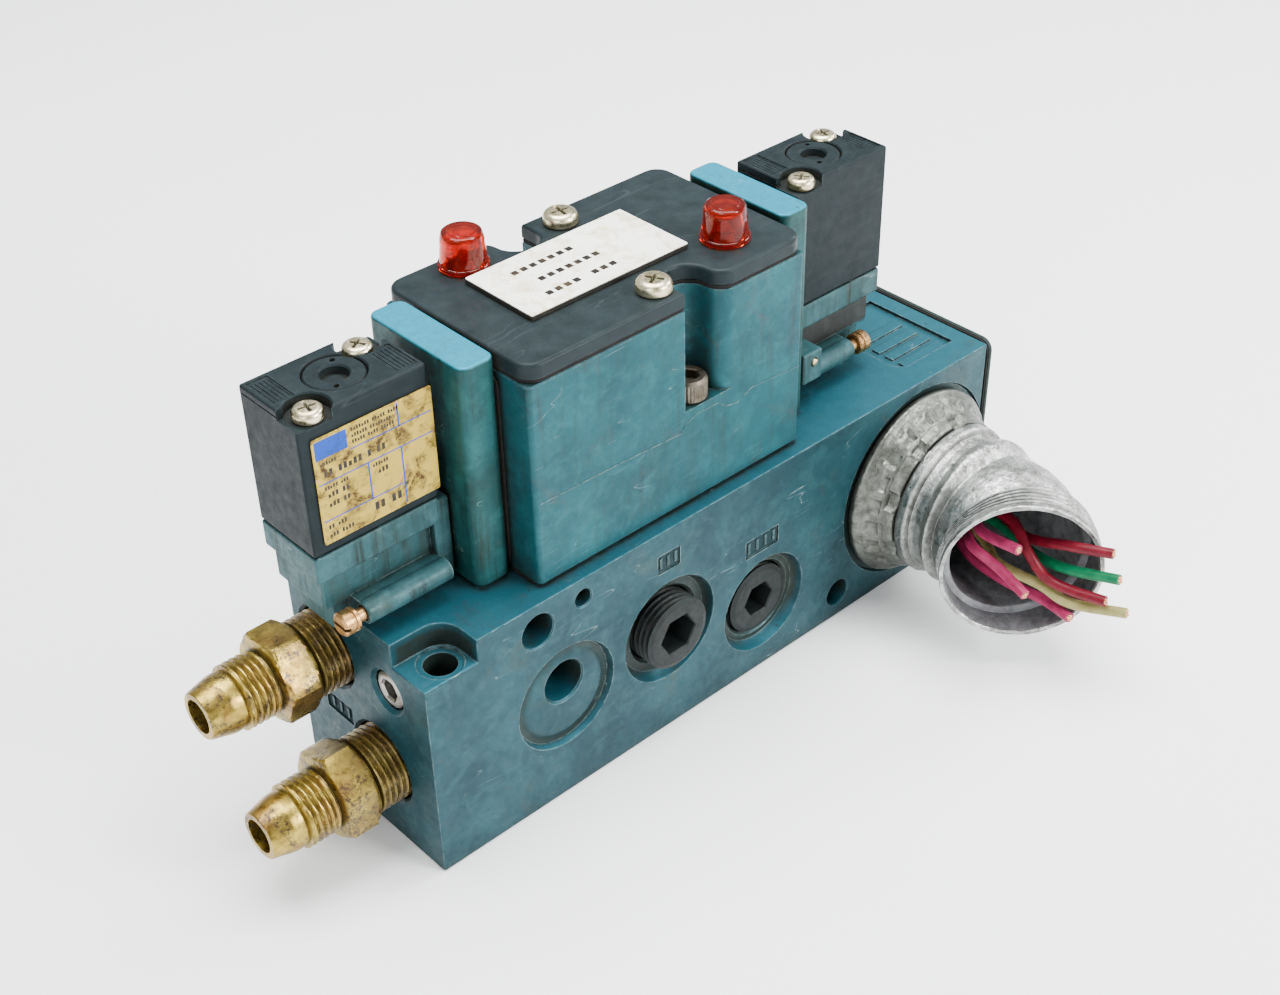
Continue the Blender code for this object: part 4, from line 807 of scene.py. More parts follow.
def pipe_plug(name, hex_corner):
    low, high = corners(name)
    centre, radius = middle(name), (high.x - low.x) / 2
    body = (shifted(low.y, [(0, 0), (0, radius - 1.25), (0.15, radius - 1.05)])
            + thread(low.y + 0.5, high.y - 0.6, radius - 0.05, 0.75, 0.6)
            + [(high.y, radius - 1.2), (high.y, 0)])
    flat = hex_corner * COS_30
    socket = shifted(low.y, [(-1, 0), (-1, hex_radius(flat + 1.25)), (0.3, hex_radius(flat)),
                             (6, hex_radius(flat)), (7.5, 0)])
    plug = carve(turned("Y", centre, body, 72), "DIFFERENCE", turned("Y", centre, socket, 72))
    add_piece(name.replace("plug", "pipe_plug"), plug, "dark_steel", nodes=[name])


def flow_screw():
    low, high = corners("flow_screw")
    centre, radius = middle("flow_screw"), (high.y - low.y) / 2
    body = shifted(low.x, [(0, 0), (0, radius - 0.9), (0.25, radius - 0.35), (0.7, radius)])
    body += [(high.x, radius), (high.x, 0)]
    flat = 2.4 * COS_30
    socket = shifted(low.x, [(-1, 0), (-1, flat + 1.6), (0.4, hex_radius(flat)), (4, hex_radius(flat)),
                             (4.6, 0)])
    screw = carve(turned("X", centre, body, 48), "DIFFERENCE", turned("X", centre, socket, 48))
    add_piece("adjusting_screw", screw, "screw_steel", nodes=["flow_screw"])


def base_seal():
    seal = soften(plate(*corners("base_gasket"), 2.5), 0.1, 1)
    add_piece("base_seal", seal, "gasket_rubber", nodes=["base_gasket"])


# ---------------------------------------------------------------- brass fittings

def tube_fitting(name, turn):
    """Flare fitting from its cone over the flare thread and the hexagon to the pipe thread."""
    nose, centre, face = lowest(name).x, middle(name), LEFT_FACE
    flat = 10.4 * COS_30
    start, end = nose + 15.2, face - 6.9

    def hexed(limit):
        return lambda angle: hex_radius(flat, limit)(angle + turn)

    outer = (shifted(nose, [(0, 3.75), (0.05, 4.0), (0, 4.9), (0.25, 5.15), (4.6, 6.22), (5.2, 6.32),
                            (7.2, 6.32), (7.5, 6.2)])
             + thread(nose + 7.7, nose + 14.3, 7.12, 0.72, 0.5)
             + shifted(nose, [(14.6, 6.3), (15.0, 6.35)])
             + shifted(start, [(0, 8.2), (0.15, hexed(9.05)), (0.55, hexed(9.7)), (1.1, hexed(10.35))])
             + shifted(end, [(-1.1, hexed(10.35)), (-0.5, hexed(9.6)), (0, hexed(8.9)), (0, 7.4),
                             (0.5, 7.3)])
             + thread(end + 0.9, face + 3, PORT_RADIUS - 0.35, 0.8, 0.4)
             + [(face + 11, 7.0)])
    inner = [(face + 11, 3.75), (nose + 1.0, 3.75)]
    fitting = turned("X", centre, outer + inner, 72, closed_loop=True)
    add_piece(name.replace("fitting", "flare_fitting"), fitting, "brass", nodes=[name])


# ---------------------------------------------------------------- conduit elbow and wires

BEND_START, BEND_RADIUS, BEND_ANGLE = 17.3, 29.0, math.radians(45)
BEND_LENGTH = BEND_RADIUS * BEND_ANGLE
OUTLET = BEND_START + BEND_LENGTH + 2.5
WIRE_DIAMETER = 2.4
WIRE_ROUTES = {
    "red_upper": ((-14, 3.0, 1.8), (8, 3.0, 1.8), (24, 1.6, 2.6), (33.8, 2.6, 2.9),
                  (42.6, 9.6, 7.6), (47.6, 18.0, 9.4)),
    "red_curved": ((-14, 0.0, 3.5), (8, 0.0, 3.6), (22, -2.0, 6.0), (32.6, -0.3, 6.7),
                   (39.6, 1.3, 3.7), (42.6, 5.1, -0.9), (46.2, 10.2, -1.8), (51.2, 17.0, -0.8)),
    "green": ((-14, 0.0, 0.0), (8, 0.0, 0.0), (24, 1.9, -0.8), (34.6, 4.0, -0.9),
              (42.6, 9.2, 1.4), (50.6, 19.4, 4.7)),
    "cream": ((-14, 3.0, -1.8), (8, 2.8, -2.8), (24, -1.6, -4.6), (34.6, -3.6, -3.1),
              (41.4, 4.5, -4.1), (46.8, 10.5, -5.0), (52.6, 21.6, -2.9)),
    "pink_short": ((-14, -3.0, 1.8), (8, -3.2, 1.9), (22, -6.0, 4.4), (34.6, -7.7, 5.9),
                   (44.6, -1.7, 7.9)),
    "pink": ((-14, -3.0, -1.8), (8, -3.2, -1.7), (22, -7.0, 0.4), (34.0, -9.8, 2.2),
             (40.6, -4.5, -0.6), (47.6, 0.3, -2.2)),
    "pink_lower": ((-14, 0.0, -3.5), (8, -0.6, -4.2), (22, -4.6, -8.0), (34.0, -1.6, -8.6),
                   (41.0, 6.0, -8.9), (48.6, 10.4, -7.6)),
}


def elbow_frame(along):
    """Centre-line point and outward (across) direction, from the base's front face."""
    x, z = ELBOW_AXIS
    if along <= BEND_START:
        return Vector((x, FRONT_FACE - along, z)), Vector((1, 0, 0))
    turn = min(along - BEND_START, BEND_LENGTH) / BEND_RADIUS
    centre = Vector((x - BEND_RADIUS, FRONT_FACE - BEND_START, z))
    across = Vector((math.cos(turn), -math.sin(turn), 0))
    tangent = Vector((-math.sin(turn), -math.cos(turn), 0))
    rest = max(0.0, along - BEND_START - BEND_LENGTH)
    return centre + across * BEND_RADIUS + tangent * rest, across


def elbow_point(along, across, up):
    point, outward = elbow_frame(along)
    return point + outward * across + Vector((0, 0, up))


def swept_ring(stations, sides=96, roughen=0.0):
    """Closed tube wall of (along, radius) stations; roughen moves the cast skin in and out."""
    rings = []
    for along, radius in stations:
        ring = []
        for i in range(sides):
            angle = 2 * math.pi * i / sides
            reach = reach_at(radius, angle)
            point = elbow_point(along, reach * math.cos(angle), reach * math.sin(angle))
            if roughen:
                reach += noise.fractal(point / 2.6, 1.0, 2.0, 3) * roughen
                point = elbow_point(along, reach * math.cos(angle), reach * math.sin(angle))
            ring.append(point)
        rings.append(ring)
    return skin(rings, closed_loop=True)


def smooth_stations(stations, step=0.6):
    """Fill in a list of (along, radius) stations so that the swept surface has even steps."""
    filled = []
    for (a, ra), (b, rb) in zip(stations, stations[1:]):
        count = max(1, round(abs(b - a) / step))
        for i in range(count):
            t = i / count
            filled.append((a + (b - a) * t, ra + (rb - ra) * t))
    filled.append(stations[-1])
    return filled


def bulge(start, end, low, high):
    """Stations of a rounded swell between two places along the elbow."""
    return [(start + (end - start) * i / 8, low + (high - low) * math.sin(math.pi * i / 8))
            for i in range(9)]


def conduit_elbow():
    neck = [(-7.8, HUB_RADIUS), (8.6, HUB_RADIUS), (9.0, 16.6), (9.3, 17.7), (9.8, 18.3),
            (12.0, 18.4), (12.5, 18.0), (12.8, 17.0), (13.6, 16.7), (15.6, 16.9)]
    swell = bulge(16.0, 20.8, 16.9, 18.1) + [(21.6, 16.3), (22.6, 16.3), (24.0, 16.9), (26.0, 17.3),
                                             (29.0, 17.4), (32.0, 17.1), (33.6, 16.7)]
    collar = [(34.2, 16.9)]
    for ridge in range(5):
        collar += shifted(34.9 + 1.25 * ridge, [(0, 17.65), (0.3, 18.1), (0.75, 18.1), (1.05, 17.65)])
    rim = shifted(OUTLET, [(-0.9, 18.05), (-0.25, 18.1), (0, 17.9), (0, 17.15), (-0.3, 16.95)])
    inner_lip, outer_lip = shifted(OUTLET, [(-0.6, 16.9), (-0.6, 17.1)])
    bore_wall = [(37.0, 16.6), (36.4, 16.5), (35.9, 15.3), (35.4, 15.1), (30, 14.8), (24, 14.4),
                 (18, 13.9), (12, 13.4), (-7.8, 13.4)]
    backing = [(along, radius + 0.5) for along, radius in bore_wall]
    wall = (smooth_stations(neck) + smooth_stations(swell) + collar + rim + [outer_lip]
            + smooth_stations(backing, 1.2))
    add_piece("elbow_casting", swept_ring(wall, 96, 0.10), "cast_zinc", nodes=["conduit_elbow"],
              smooth=50)
    lining_back = [(along, radius + 0.4) for along, radius in reversed(bore_wall)]
    lining = (smooth_stations([inner_lip] + bore_wall, 1.2) + smooth_stations(lining_back, 1.2)
              + [outer_lip])
    add_piece("elbow_bore", swept_ring(lining), "cast_bore", smooth=50)


def turn_share(angle, count):
    """How far an angle is through its own one of count equal parts of a turn."""
    return (angle * count / (2 * math.pi)) % 1.0


def dimpled(radius, depth):
    """Ring of small dimples, left plain at the bottom."""
    def reach(angle):
        inside = turn_share(angle, 22) < 0.55 and math.sin(angle - 0.3) > -0.9
        return radius - depth * (1.0 if inside else 0.0)
    return reach


def lugged(radius, drop):
    """Ring of lugs with narrow gaps between them."""
    def reach(angle):
        share = turn_share(angle, 9)
        from_gap = min(share, 1 - share) * 2
        return radius - drop * max(0.0, min(1.0, (0.34 - from_gap) * 9))
    return reach


def elbow_locknut():
    """Ring with a rolled rim, a dimpled cone and a lugged crown."""
    low, inner = 0.3 - SPOTFACE_DEPTH, HUB_RADIUS + 0.35
    stations = [(low, inner), (low, 22.1), (low + 0.35, 22.8), (0.6, 23.2), (1.3, 23.25),
                (1.9, 22.9), (2.3, 22.2), (2.9, 21.9), (3.4, 21.6), (3.6, dimpled(21.4, 0.6)),
                (4.4, dimpled(20.9, 0.75)), (5.4, dimpled(20.3, 0.75)), (5.9, dimpled(20.0, 0.5)),
                (6.1, 19.8), (6.6, 19.4), (6.8, lugged(19.6, 1.3)), (8.2, lugged(19.1, 1.3)),
                (8.9, lugged(18.7, 1.2)), (9.15, lugged(18.1, 0.9)), (9.2, inner)]
    add_piece("conduit_nut", swept_ring(stations, 198, 0.06), "nut_zinc", nodes=["elbow_locknut"],
              smooth=45)


def smooth_route(points):
    """Catmull-Rom curve through the route's own points, five steps to each span."""
    padded = [2 * points[0] - points[1], *points, 2 * points[-1] - points[-2]]
    route = []
    for a, b, c, d in zip(padded, padded[1:], padded[2:], padded[3:]):
        for i in range(5):
            t = i / 5
            route.append(0.5 * (2 * b + (c - a) * t + (2 * a - 5 * b + 4 * c - d) * t ** 2
                                + (3 * b - a - 3 * c + d) * t ** 3))
    route.append(points[-1])
    return route


STRAND_RADIUS, STRAND_RING, STRAND_SIDES = 0.27, 0.5, 10


def wire_tip(points):
    """Cut end of the wire: a bundle of seven bare strands standing just out of the sleeve."""
    end = points[-1]
    forward = (points[-1] - points[-2]).normalized()
    side = forward.orthogonal().normalized()
    up = forward.cross(side)

    def around(radius, angle):
        return side * radius * math.cos(angle) + up * radius * math.sin(angle)

    strands = []
    for i in range(7):
        centre = end + around(0.0 if i == 6 else STRAND_RING, math.pi / 3 * i)
        reach = 0.28 + 0.12 * math.sin(2.1 * i)
        stations = ((-0.6, STRAND_RADIUS), (reach, STRAND_RADIUS), (reach + 0.06, 0.2))
        rings = [[centre + forward * along + around(radius, 2 * math.pi * k / STRAND_SIDES)
                  for k in range(STRAND_SIDES)] for along, radius in stations]
        strands.append(skin(rings, caps=True))
    return join(*strands)


def lead_wire(name, route):
    points = smooth_route([elbow_point(*spot) for spot in route])
    curve = bpy.data.curves.new(f"lead_{name}", "CURVE")
    curve.dimensions = "3D"
    curve.bevel_depth = WIRE_DIAMETER / 2 * MM
    curve.bevel_resolution = 5
    curve.use_fill_caps = True
    spline = curve.splines.new("POLY")
    spline.points.add(len(points) - 1)
    for slot, point in zip(spline.points, points):
        slot.co = (*(point * MM), 1.0)
    finish = "wire_" + name.split("_")[0]
    curve.materials.append(FINISHES[finish])
    lead = new_object(f"lead_{name}", curve)
    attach(lead, "root")
    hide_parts(f"wire_{name}")
    tip = add_piece(f"strands_{name}", wire_tip(points), "copper", smooth=60)


# ---------------------------------------------------------------- valve body and cover

BODY_LOW, BODY_HIGH = corners("valve_body")
COVER_LOW, COVER_HIGH = corners("top_cover")
FRONT_BOLT, REAR_BOLT = middle("body_bolt_front"), middle("body_bolt_rear")
SLOT_RADIUS, SLOT_FLOOR, SLOT_OVERRUN = 4.75, 77.4, 3.0
SPOOL_AXIS, SPOOL_RADIUS, PISTON_RADIUS, PISTON_DEPTH = middle("spool"), 8.0, 11.2, 6.0
CONNECTOR_ROOM, CONNECTOR_ROOM_TOP = (10.2, 18.8, -8, 8), 62


def slot_outlines():
    """The two bolt slots: a half-round end, one straight side and one side flared outward."""
    flare = FRONT_BOLT.y - BODY_LOW.y + 0.15
    outlines = []
    for bolt, face, way in ((FRONT_BOLT, BODY_LOW.y, 1), (REAR_BOLT, BODY_HIGH.y, -1)):
        side, turn, mouth = way * SLOT_RADIUS, 90 - 90 * way, face - way * SLOT_OVERRUN
        far = bolt.x + side + way * flare
        outlines.append([(bolt.x - side, mouth)]
                        + arc(bolt.x, bolt.y, SLOT_RADIUS, 180 - turn, -turn, 18)
                        + arc(far, face + way * flare, flare, 180 - turn, 270 - turn, 10)[1:]
                        + [(far, mouth)])
    return outlines


def slot_cutters(bottom, top):
    return [prism("Z", outline, bottom, top) for outline in slot_outlines()]


def valve_body():
    block = soften(plate(BODY_LOW, BODY_HIGH, 1.1, 5), 0.25, 1)
    cuts = slot_cutters(SLOT_FLOOR, BODY_HIGH.z + 3)
    cuts += [hole("Z", bolt, 2.6, BODY_LOW.z - 1, SLOT_FLOOR + 1) for bolt in (FRONT_BOLT, REAR_BOLT)]
    cuts += [hole("Z", middle(f"lamp_{side}"), 4.2, 90, BODY_HIGH.z + 1, 32) for side in SIDES]
    left, right = BODY_LOW.x + PISTON_DEPTH, BODY_HIGH.x - PISTON_DEPTH
    cuts.append(turned("X", SPOOL_AXIS, [
        (BODY_LOW.x - 1, 0), (BODY_LOW.x - 1, PISTON_RADIUS), (left, PISTON_RADIUS),
        (left, SPOOL_RADIUS), (right, SPOOL_RADIUS), (right, PISTON_RADIUS),
        (BODY_HIGH.x + 1, PISTON_RADIUS), (BODY_HIGH.x + 1, 0)], 32))
    cuts.append(box(*CONNECTOR_ROOM, BODY_LOW.z - 1, CONNECTOR_ROOM_TOP))
    add_piece("body_casting", carve(block, "DIFFERENCE", *cuts), "body_painted", nodes=["valve_body"])
    casting_seam()


def casting_seam():
    """The fine parting line of the casting across the front, stepping up by the bolt slot."""
    path = [(BODY_LOW.x + 1.2, 74.2), (-30.0, 73.6), (-14.4, 72.8), (-12.6, 74.6), (-9.6, 75.6),
            (-3.6, 75.4), (-1.5, 73.6), (1.6, 73.0), (6.0, 74.8), (BODY_HIGH.x - 1.2, 73.8)]
    near, far = BODY_LOW.y + 0.1, BODY_LOW.y - 0.12
    rings = [[(x, near, z - 0.2), (x, far, z - 0.08), (x, far, z + 0.08), (x, near, z + 0.2)]
             for x, z in path]
    add_piece("casting_seam", skin(rings, caps=True), "body_painted")


def top_cover():
    gasket_low, gasket_high = corners("cover_gasket")
    holes = [(middle(f"lamp_{side}"), 4.5) for side in SIDES]
    holes += [(middle(f"cover_screw_{position}"), 2.3) for position in POSITIONS]

    def hole_cutters(low, high):
        return [hole("Z", centre, radius, low - 1, high + 1) for centre, radius in holes]

    outline = rectangle(COVER_LOW.x + 0.25, COVER_HIGH.x - 0.25, COVER_LOW.y + 0.25,
                        COVER_HIGH.y - 0.25, 3.8)
    seal = prism("Z", outline, gasket_low.z - 0.1, gasket_high.z + 0.1)
    seal = carve(seal, "DIFFERENCE", *slot_cutters(gasket_low.z - 2, gasket_high.z + 2),
                 *hole_cutters(gasket_low.z, gasket_high.z))
    add_piece("cover_seal", seal, "gasket_rubber", nodes=["cover_gasket"])
    cover = carve(plate(COVER_LOW, COVER_HIGH, 4.0), "DIFFERENCE",
                  *slot_cutters(COVER_LOW.z - 2, COVER_HIGH.z + 2))
    cover = soften(cover, 0.85, 4, 50, keep=lambda p: p.z > COVER_HIGH.z - 0.1)
    cover = carve(cover, "DIFFERENCE", *hole_cutters(COVER_LOW.z, COVER_HIGH.z))
    add_piece("cover_moulding", cover, "black_plastic", nodes=["top_cover"])


def cross_recess(centre, top, reach, depth, turn):
    """Cutters for a cross recess: two tapered blades."""
    blades = []
    for angle in (turn, turn + math.pi / 2):
        along = Vector((math.cos(angle), math.sin(angle), 0))
        across = Vector((-math.sin(angle), math.cos(angle), 0))
        rings = []
        for z, long, wide in ((top - depth, reach * 0.42, reach * 0.10),
                              (top + 0.02, reach, reach * 0.19),
                              (top + 1.0, reach * 1.4, reach * 0.3)):
            middle_point = Vector((centre.x, centre.y, z))
            rings.append([middle_point + along * long * a + across * wide * b
                          for a, b in ((-1, -1), (1, -1), (1, 1), (-1, 1))])
        blades.append(skin(rings, caps=True))
    return blades


HEAD_SHARE, DOME_SHARE = 0.88, 0.42


def pan_screw(name, node, seat_height, turn):
    low, high = corners(node)
    centre, top, seat = middle(node), high.z, high.z - seat_height
    radius = (high.x - low.x) / 2 * HEAD_SHARE
    dome = [(seat + seat_height * (0.45 + 0.55 * math.sin(a)),
             radius * (1 - DOME_SHARE + DOME_SHARE * math.cos(a)))
            for a in (math.radians(10 * i) for i in range(9))]
    profile = [(low.z, 0), (low.z, 1.2), (low.z + 0.8, 1.5), (seat, 1.5), (seat, radius - 0.1),
               (seat + 0.15, radius), *dome, (top, 0)]
    screw = turned("Z", centre, profile, 48)
    for blade in cross_recess(centre, top - 0.1, radius * 0.58, seat_height * 0.62, turn):
        screw = carve(screw, "DIFFERENCE", blade)
    add_piece(name, screw, "zinc_screw", nodes=[node])


def socket_bolt(name, node):
    low, high = corners(node)
    centre, radius, top = middle(node), (high.x - low.x) / 2, high.z

    def knurled(angle):
        return radius - 0.16 * (math.cos(angle * 36) > 0)

    profile = [(low.z, 0), (low.z, 1.8), (low.z + 0.6, 2.3)] + shifted(top, [
        (-4.8, 2.3), (-4.8, radius - 0.2), (-4.5, radius), (-4.2, knurled), (-0.9, knurled),
        (-0.55, radius - 0.05), (0, radius - 0.55), (0, 0)])
    flat = 2.3 * COS_30
    socket = shifted(top, [(-2.6, 0), (-2.2, hex_radius(flat)), (-0.25, hex_radius(flat)),
                           (1, hex_radius(flat + 1.25)), (1, 0)])
    bolt = carve(turned("Z", centre, profile, 144), "DIFFERENCE", turned("Z", centre, socket, 72))
    add_piece(name, bolt, "bolt_steel", nodes=[node])


HOLDER_TOP, BULB_BASE, BULB_RADIUS = 103.0, 104.8, 1.7
NOTCH_IN_PLATE = 4.75


def lens(side):
    """Hollow cone with a rim, a raised disc on its top and a ring moulded inside."""
    node = f"lens_{side}"
    low, high = corners(node)
    centre, seat = middle(node), COVER_HIGH.z + 0.3
    skirt = [(low.z, 3.5)]
    outer = (skirt + [(low.z, 4.2)]
             + shifted(seat, [(0, 4.2), (0, 5.0), (0.2, 5.2), (0.85, 5.2), (1.05, 5.05), (1.15, 4.82),
                              (5.4, 4.42), (5.6, 4.47), (6.0, 4.42)])
             + shifted(high.z, [(-0.75, 4.22), (-0.3, 4.0), (-0.12, 3.7), (-0.12, 2.95), (0, 2.8),
                                (0, 0)]))
    inner = (shifted(high.z, [(-1.5, 0), (-1.5, 2.4), (-1.9, 3.1)])
             + shifted(seat, [(3.0, 3.45), (2.7, 3.3), (2.2, 3.35), (0, 3.5)]) + skirt)
    both = join(turned("Z", centre, outer, 72), turned("Z", centre, inner, 72))
    bmesh.ops.remove_doubles(both, verts=both.verts, dist=0.0005)
    add_piece(f"lamp_lens_{side}", both, "lens_red", nodes=[node], smooth=30)


def lamp(side):
    """Holder with a small round-nosed bulb, seen through the lens."""
    node = f"lamp_{side}"
    base, tip = lowest(node).z, highest(node).z
    profile = [(base, 0), (base, 2.6), (HOLDER_TOP, 2.6), (103.4, 2.3), (104.6, 2.3),
               (BULB_BASE, BULB_RADIUS)]
    profile += [(BULB_BASE + (tip - BULB_BASE) * math.sin(a), BULB_RADIUS * math.cos(a))
                for a in (math.radians(15 * i) for i in range(1, 6))] + [(tip, 0)]
    add_piece(f"lamp_bulb_{side}", turned("Z", middle(f"lens_{side}"), profile, 36), "lamp",
              nodes=[node])


def legend_plate():
    """Two-layer engraving plate round the front screw, with rows of plain square marks."""
    low, high = corners("legend_plate")
    core_top = high.z - 0.22

    def layer(inset, bottom, top, rounding, segments):
        outline = rectangle(low.x + inset, high.x - inset, low.y + inset, high.y - inset, 0.3, 2)
        sheet = soften(prism("Z", outline, bottom, top), rounding, segments)
        return carve(sheet, "DIFFERENCE", hole("Z", middle("cover_screw_front"), NOTCH_IN_PLATE,
                                               low.z - 1, high.z + 1, 48))

    add_piece("plate_core", layer(0, low.z, core_top, 0.06, 1), "plate_core", nodes=["legend_plate"])
    add_piece("plate_face", layer(0.12, core_top + 0.01, high.z, 0.08, 2), "plate_cream")
    marks = []
    for row, (start, words) in enumerate(((-33.5, (4, 3)), (-31.0, (7,)), (-33.5, (7,)))):
        x, y = start, low.y + 3.8 + 5.2 * row
        for word in words:
            for _ in range(word):
                marks.append(box(x, x + 1.5, y, y + 1.5, high.z - 0.05, high.z + 0.02))
                x += 2.3
            x += 2.4
    add_piece("plate_marks", join(*marks), "print_dark")


# ---------------------------------------------------------------- end caps and pilots

def end_cap(side, sign):
    node = f"end_cap_{side}"
    low, high = corners(node)
    inner = low.x if sign > 0 else high.x
    pocket = hole("X", SPOOL_AXIS, PISTON_RADIUS, inner - sign, inner + sign * 6.4, 32)
    cap = carve(soften(plate(low, high, 2.2, 6), 0.65, 4, 50), "DIFFERENCE", pocket)
    add_piece(f"cap_casting_{side}", cap, "cap_painted", nodes=[node])


def cap_seal(side):
    """Thin gasket set back between the end cap and the body, so that a dark gap shows."""
    node = f"cap_gasket_{side}"
    low, high = corners(node)
    outline = rectangle(low.y + 0.5, high.y - 0.5, low.z + 0.4, high.z - 0.5, 2.0, 3)
    seal = carve(prism("X", outline, low.x + 0.05, high.x - 0.05), "DIFFERENCE",
                 hole("X", SPOOL_AXIS, PISTON_RADIUS, low.x - 1, high.x + 1, 32))
    add_piece(f"cap_seal_{side}", seal, "gasket_rubber", nodes=[node])


COIL_ROOM_TOP, DISC_SEAT, SCREW_SEAT, SCREW_CORNER = 101, 102.6, 103.0, 103.4
RIBBED_PANEL_GAP, PANEL_LINES = 7.6, 5


def coil_housing(side):
    node, disc_node = f"coil_housing_{side}", f"pole_piece_{side}"
    low, high = corners(node)
    centre, top, disc = middle(node), high.z, middle(disc_node)
    disc_radius = (highest(disc_node).x - lowest(disc_node).x) / 2
    coil_room = [(low.z - 1, 0), (low.z - 1, 7.6), (COIL_ROOM_TOP, 7.6), (COIL_ROOM_TOP, 4.4),
                 (DISC_SEAT, 4.4), (DISC_SEAT, disc_radius + 0.25), (top - 0.25, disc_radius + 0.3),
                 (top + 1, disc_radius + 1.6), (top + 1, 0)]
    screw_seat = [(SCREW_SEAT, 0), (SCREW_SEAT, 4.0), (SCREW_SEAT + 0.3, 4.4), (top - 0.3, 4.4),
                  (top + 1, 5.6), (top + 1, 0)]
    cuts = [turned("Z", disc, coil_room)]
    for way, position in zip((-1, 1), POSITIONS):
        screw = middle(f"pilot_screw_{side}_{position}")
        x_edge = centre.x + way * (high.x - centre.x + 1)
        y_edge = centre.y + way * (high.y - centre.y + 1)
        corner = rectangle(*sorted((screw.x, x_edge)), *sorted((screw.y - way * 2.6, y_edge)))
        cuts += [turned("Z", screw, screw_seat, 48), prism("Z", corner, SCREW_CORNER, top + 1.01),
                 hole("Z", screw, 1.8, low.z - 1, 104)]
    for way in (-1, 1):
        outer = centre.x + way * (high.x - centre.x)
        y_low, y_high = low.y + 1.1, high.y - 1.1
        if way < 0:
            y_low = low.y + RIBBED_PANEL_GAP
        else:
            y_high = high.y - RIBBED_PANEL_GAP
        panel = rectangle(*sorted((outer - way * 0.8, outer - way * 5.4)), y_low, y_high, 0.3, 2)
        cuts.append(prism("Z", panel, top - 0.3, top + 1))
        for i in range(PANEL_LINES):
            line = outer - way * (1.5 + 0.85 * i)
            cuts.append(box(line - 0.12, line + 0.12, y_low + 0.8, y_high - 0.8, top - 0.5, top + 1.02))
    cuts += [box(end - 0.25, end + 0.25, low.y + 0.8, high.y - 0.8, top - 1.75, top - 1.4)
             for end in (low.x, high.x)]
    case = carve(soften(plate(low, high, 0), 0.55, 4), "DIFFERENCE", *cuts)
    add_piece(f"coil_case_{side}", case, "housing_plastic", nodes=[node])
    pole_cap(side, disc, disc_radius)


def pole_cap(side, disc, radius):
    """Round end of the fixed core in the housing's top, with a ring groove and two dots."""
    node = f"pole_piece_{side}"
    low, top = lowest(node).z, highest(node).z
    profile = [(low, 0), (low, 4.1), (102.9, 4.1), (102.9, radius)] + shifted(top, [
        (-0.3, radius), (0, radius - 0.3), (0, 3.15), (-0.35, 2.8), (-2.0, 2.7), (-2.0, 1.7),
        (-1.5, 1.5), (-1.5, 0)])
    dots = [hole("Z", (disc.x + 4.45 * math.cos(angle), disc.y + 4.45 * math.sin(angle)), 0.62,
                 top - 1.2, top + 1, 20) for angle in (math.radians(60), math.radians(240))]
    add_piece(f"pole_cap_{side}", carve(turned("Z", disc, profile), "DIFFERENCE", *dots),
              "housing_plastic", nodes=[node])


BARREL_ENDS = {"left": -85.6, "right": 49.6}
BAND, STEP = 69.5, 61.5
LUG_SIDE, LUG_FRONT, RIVET_Z = "right", -11.6, 65.0


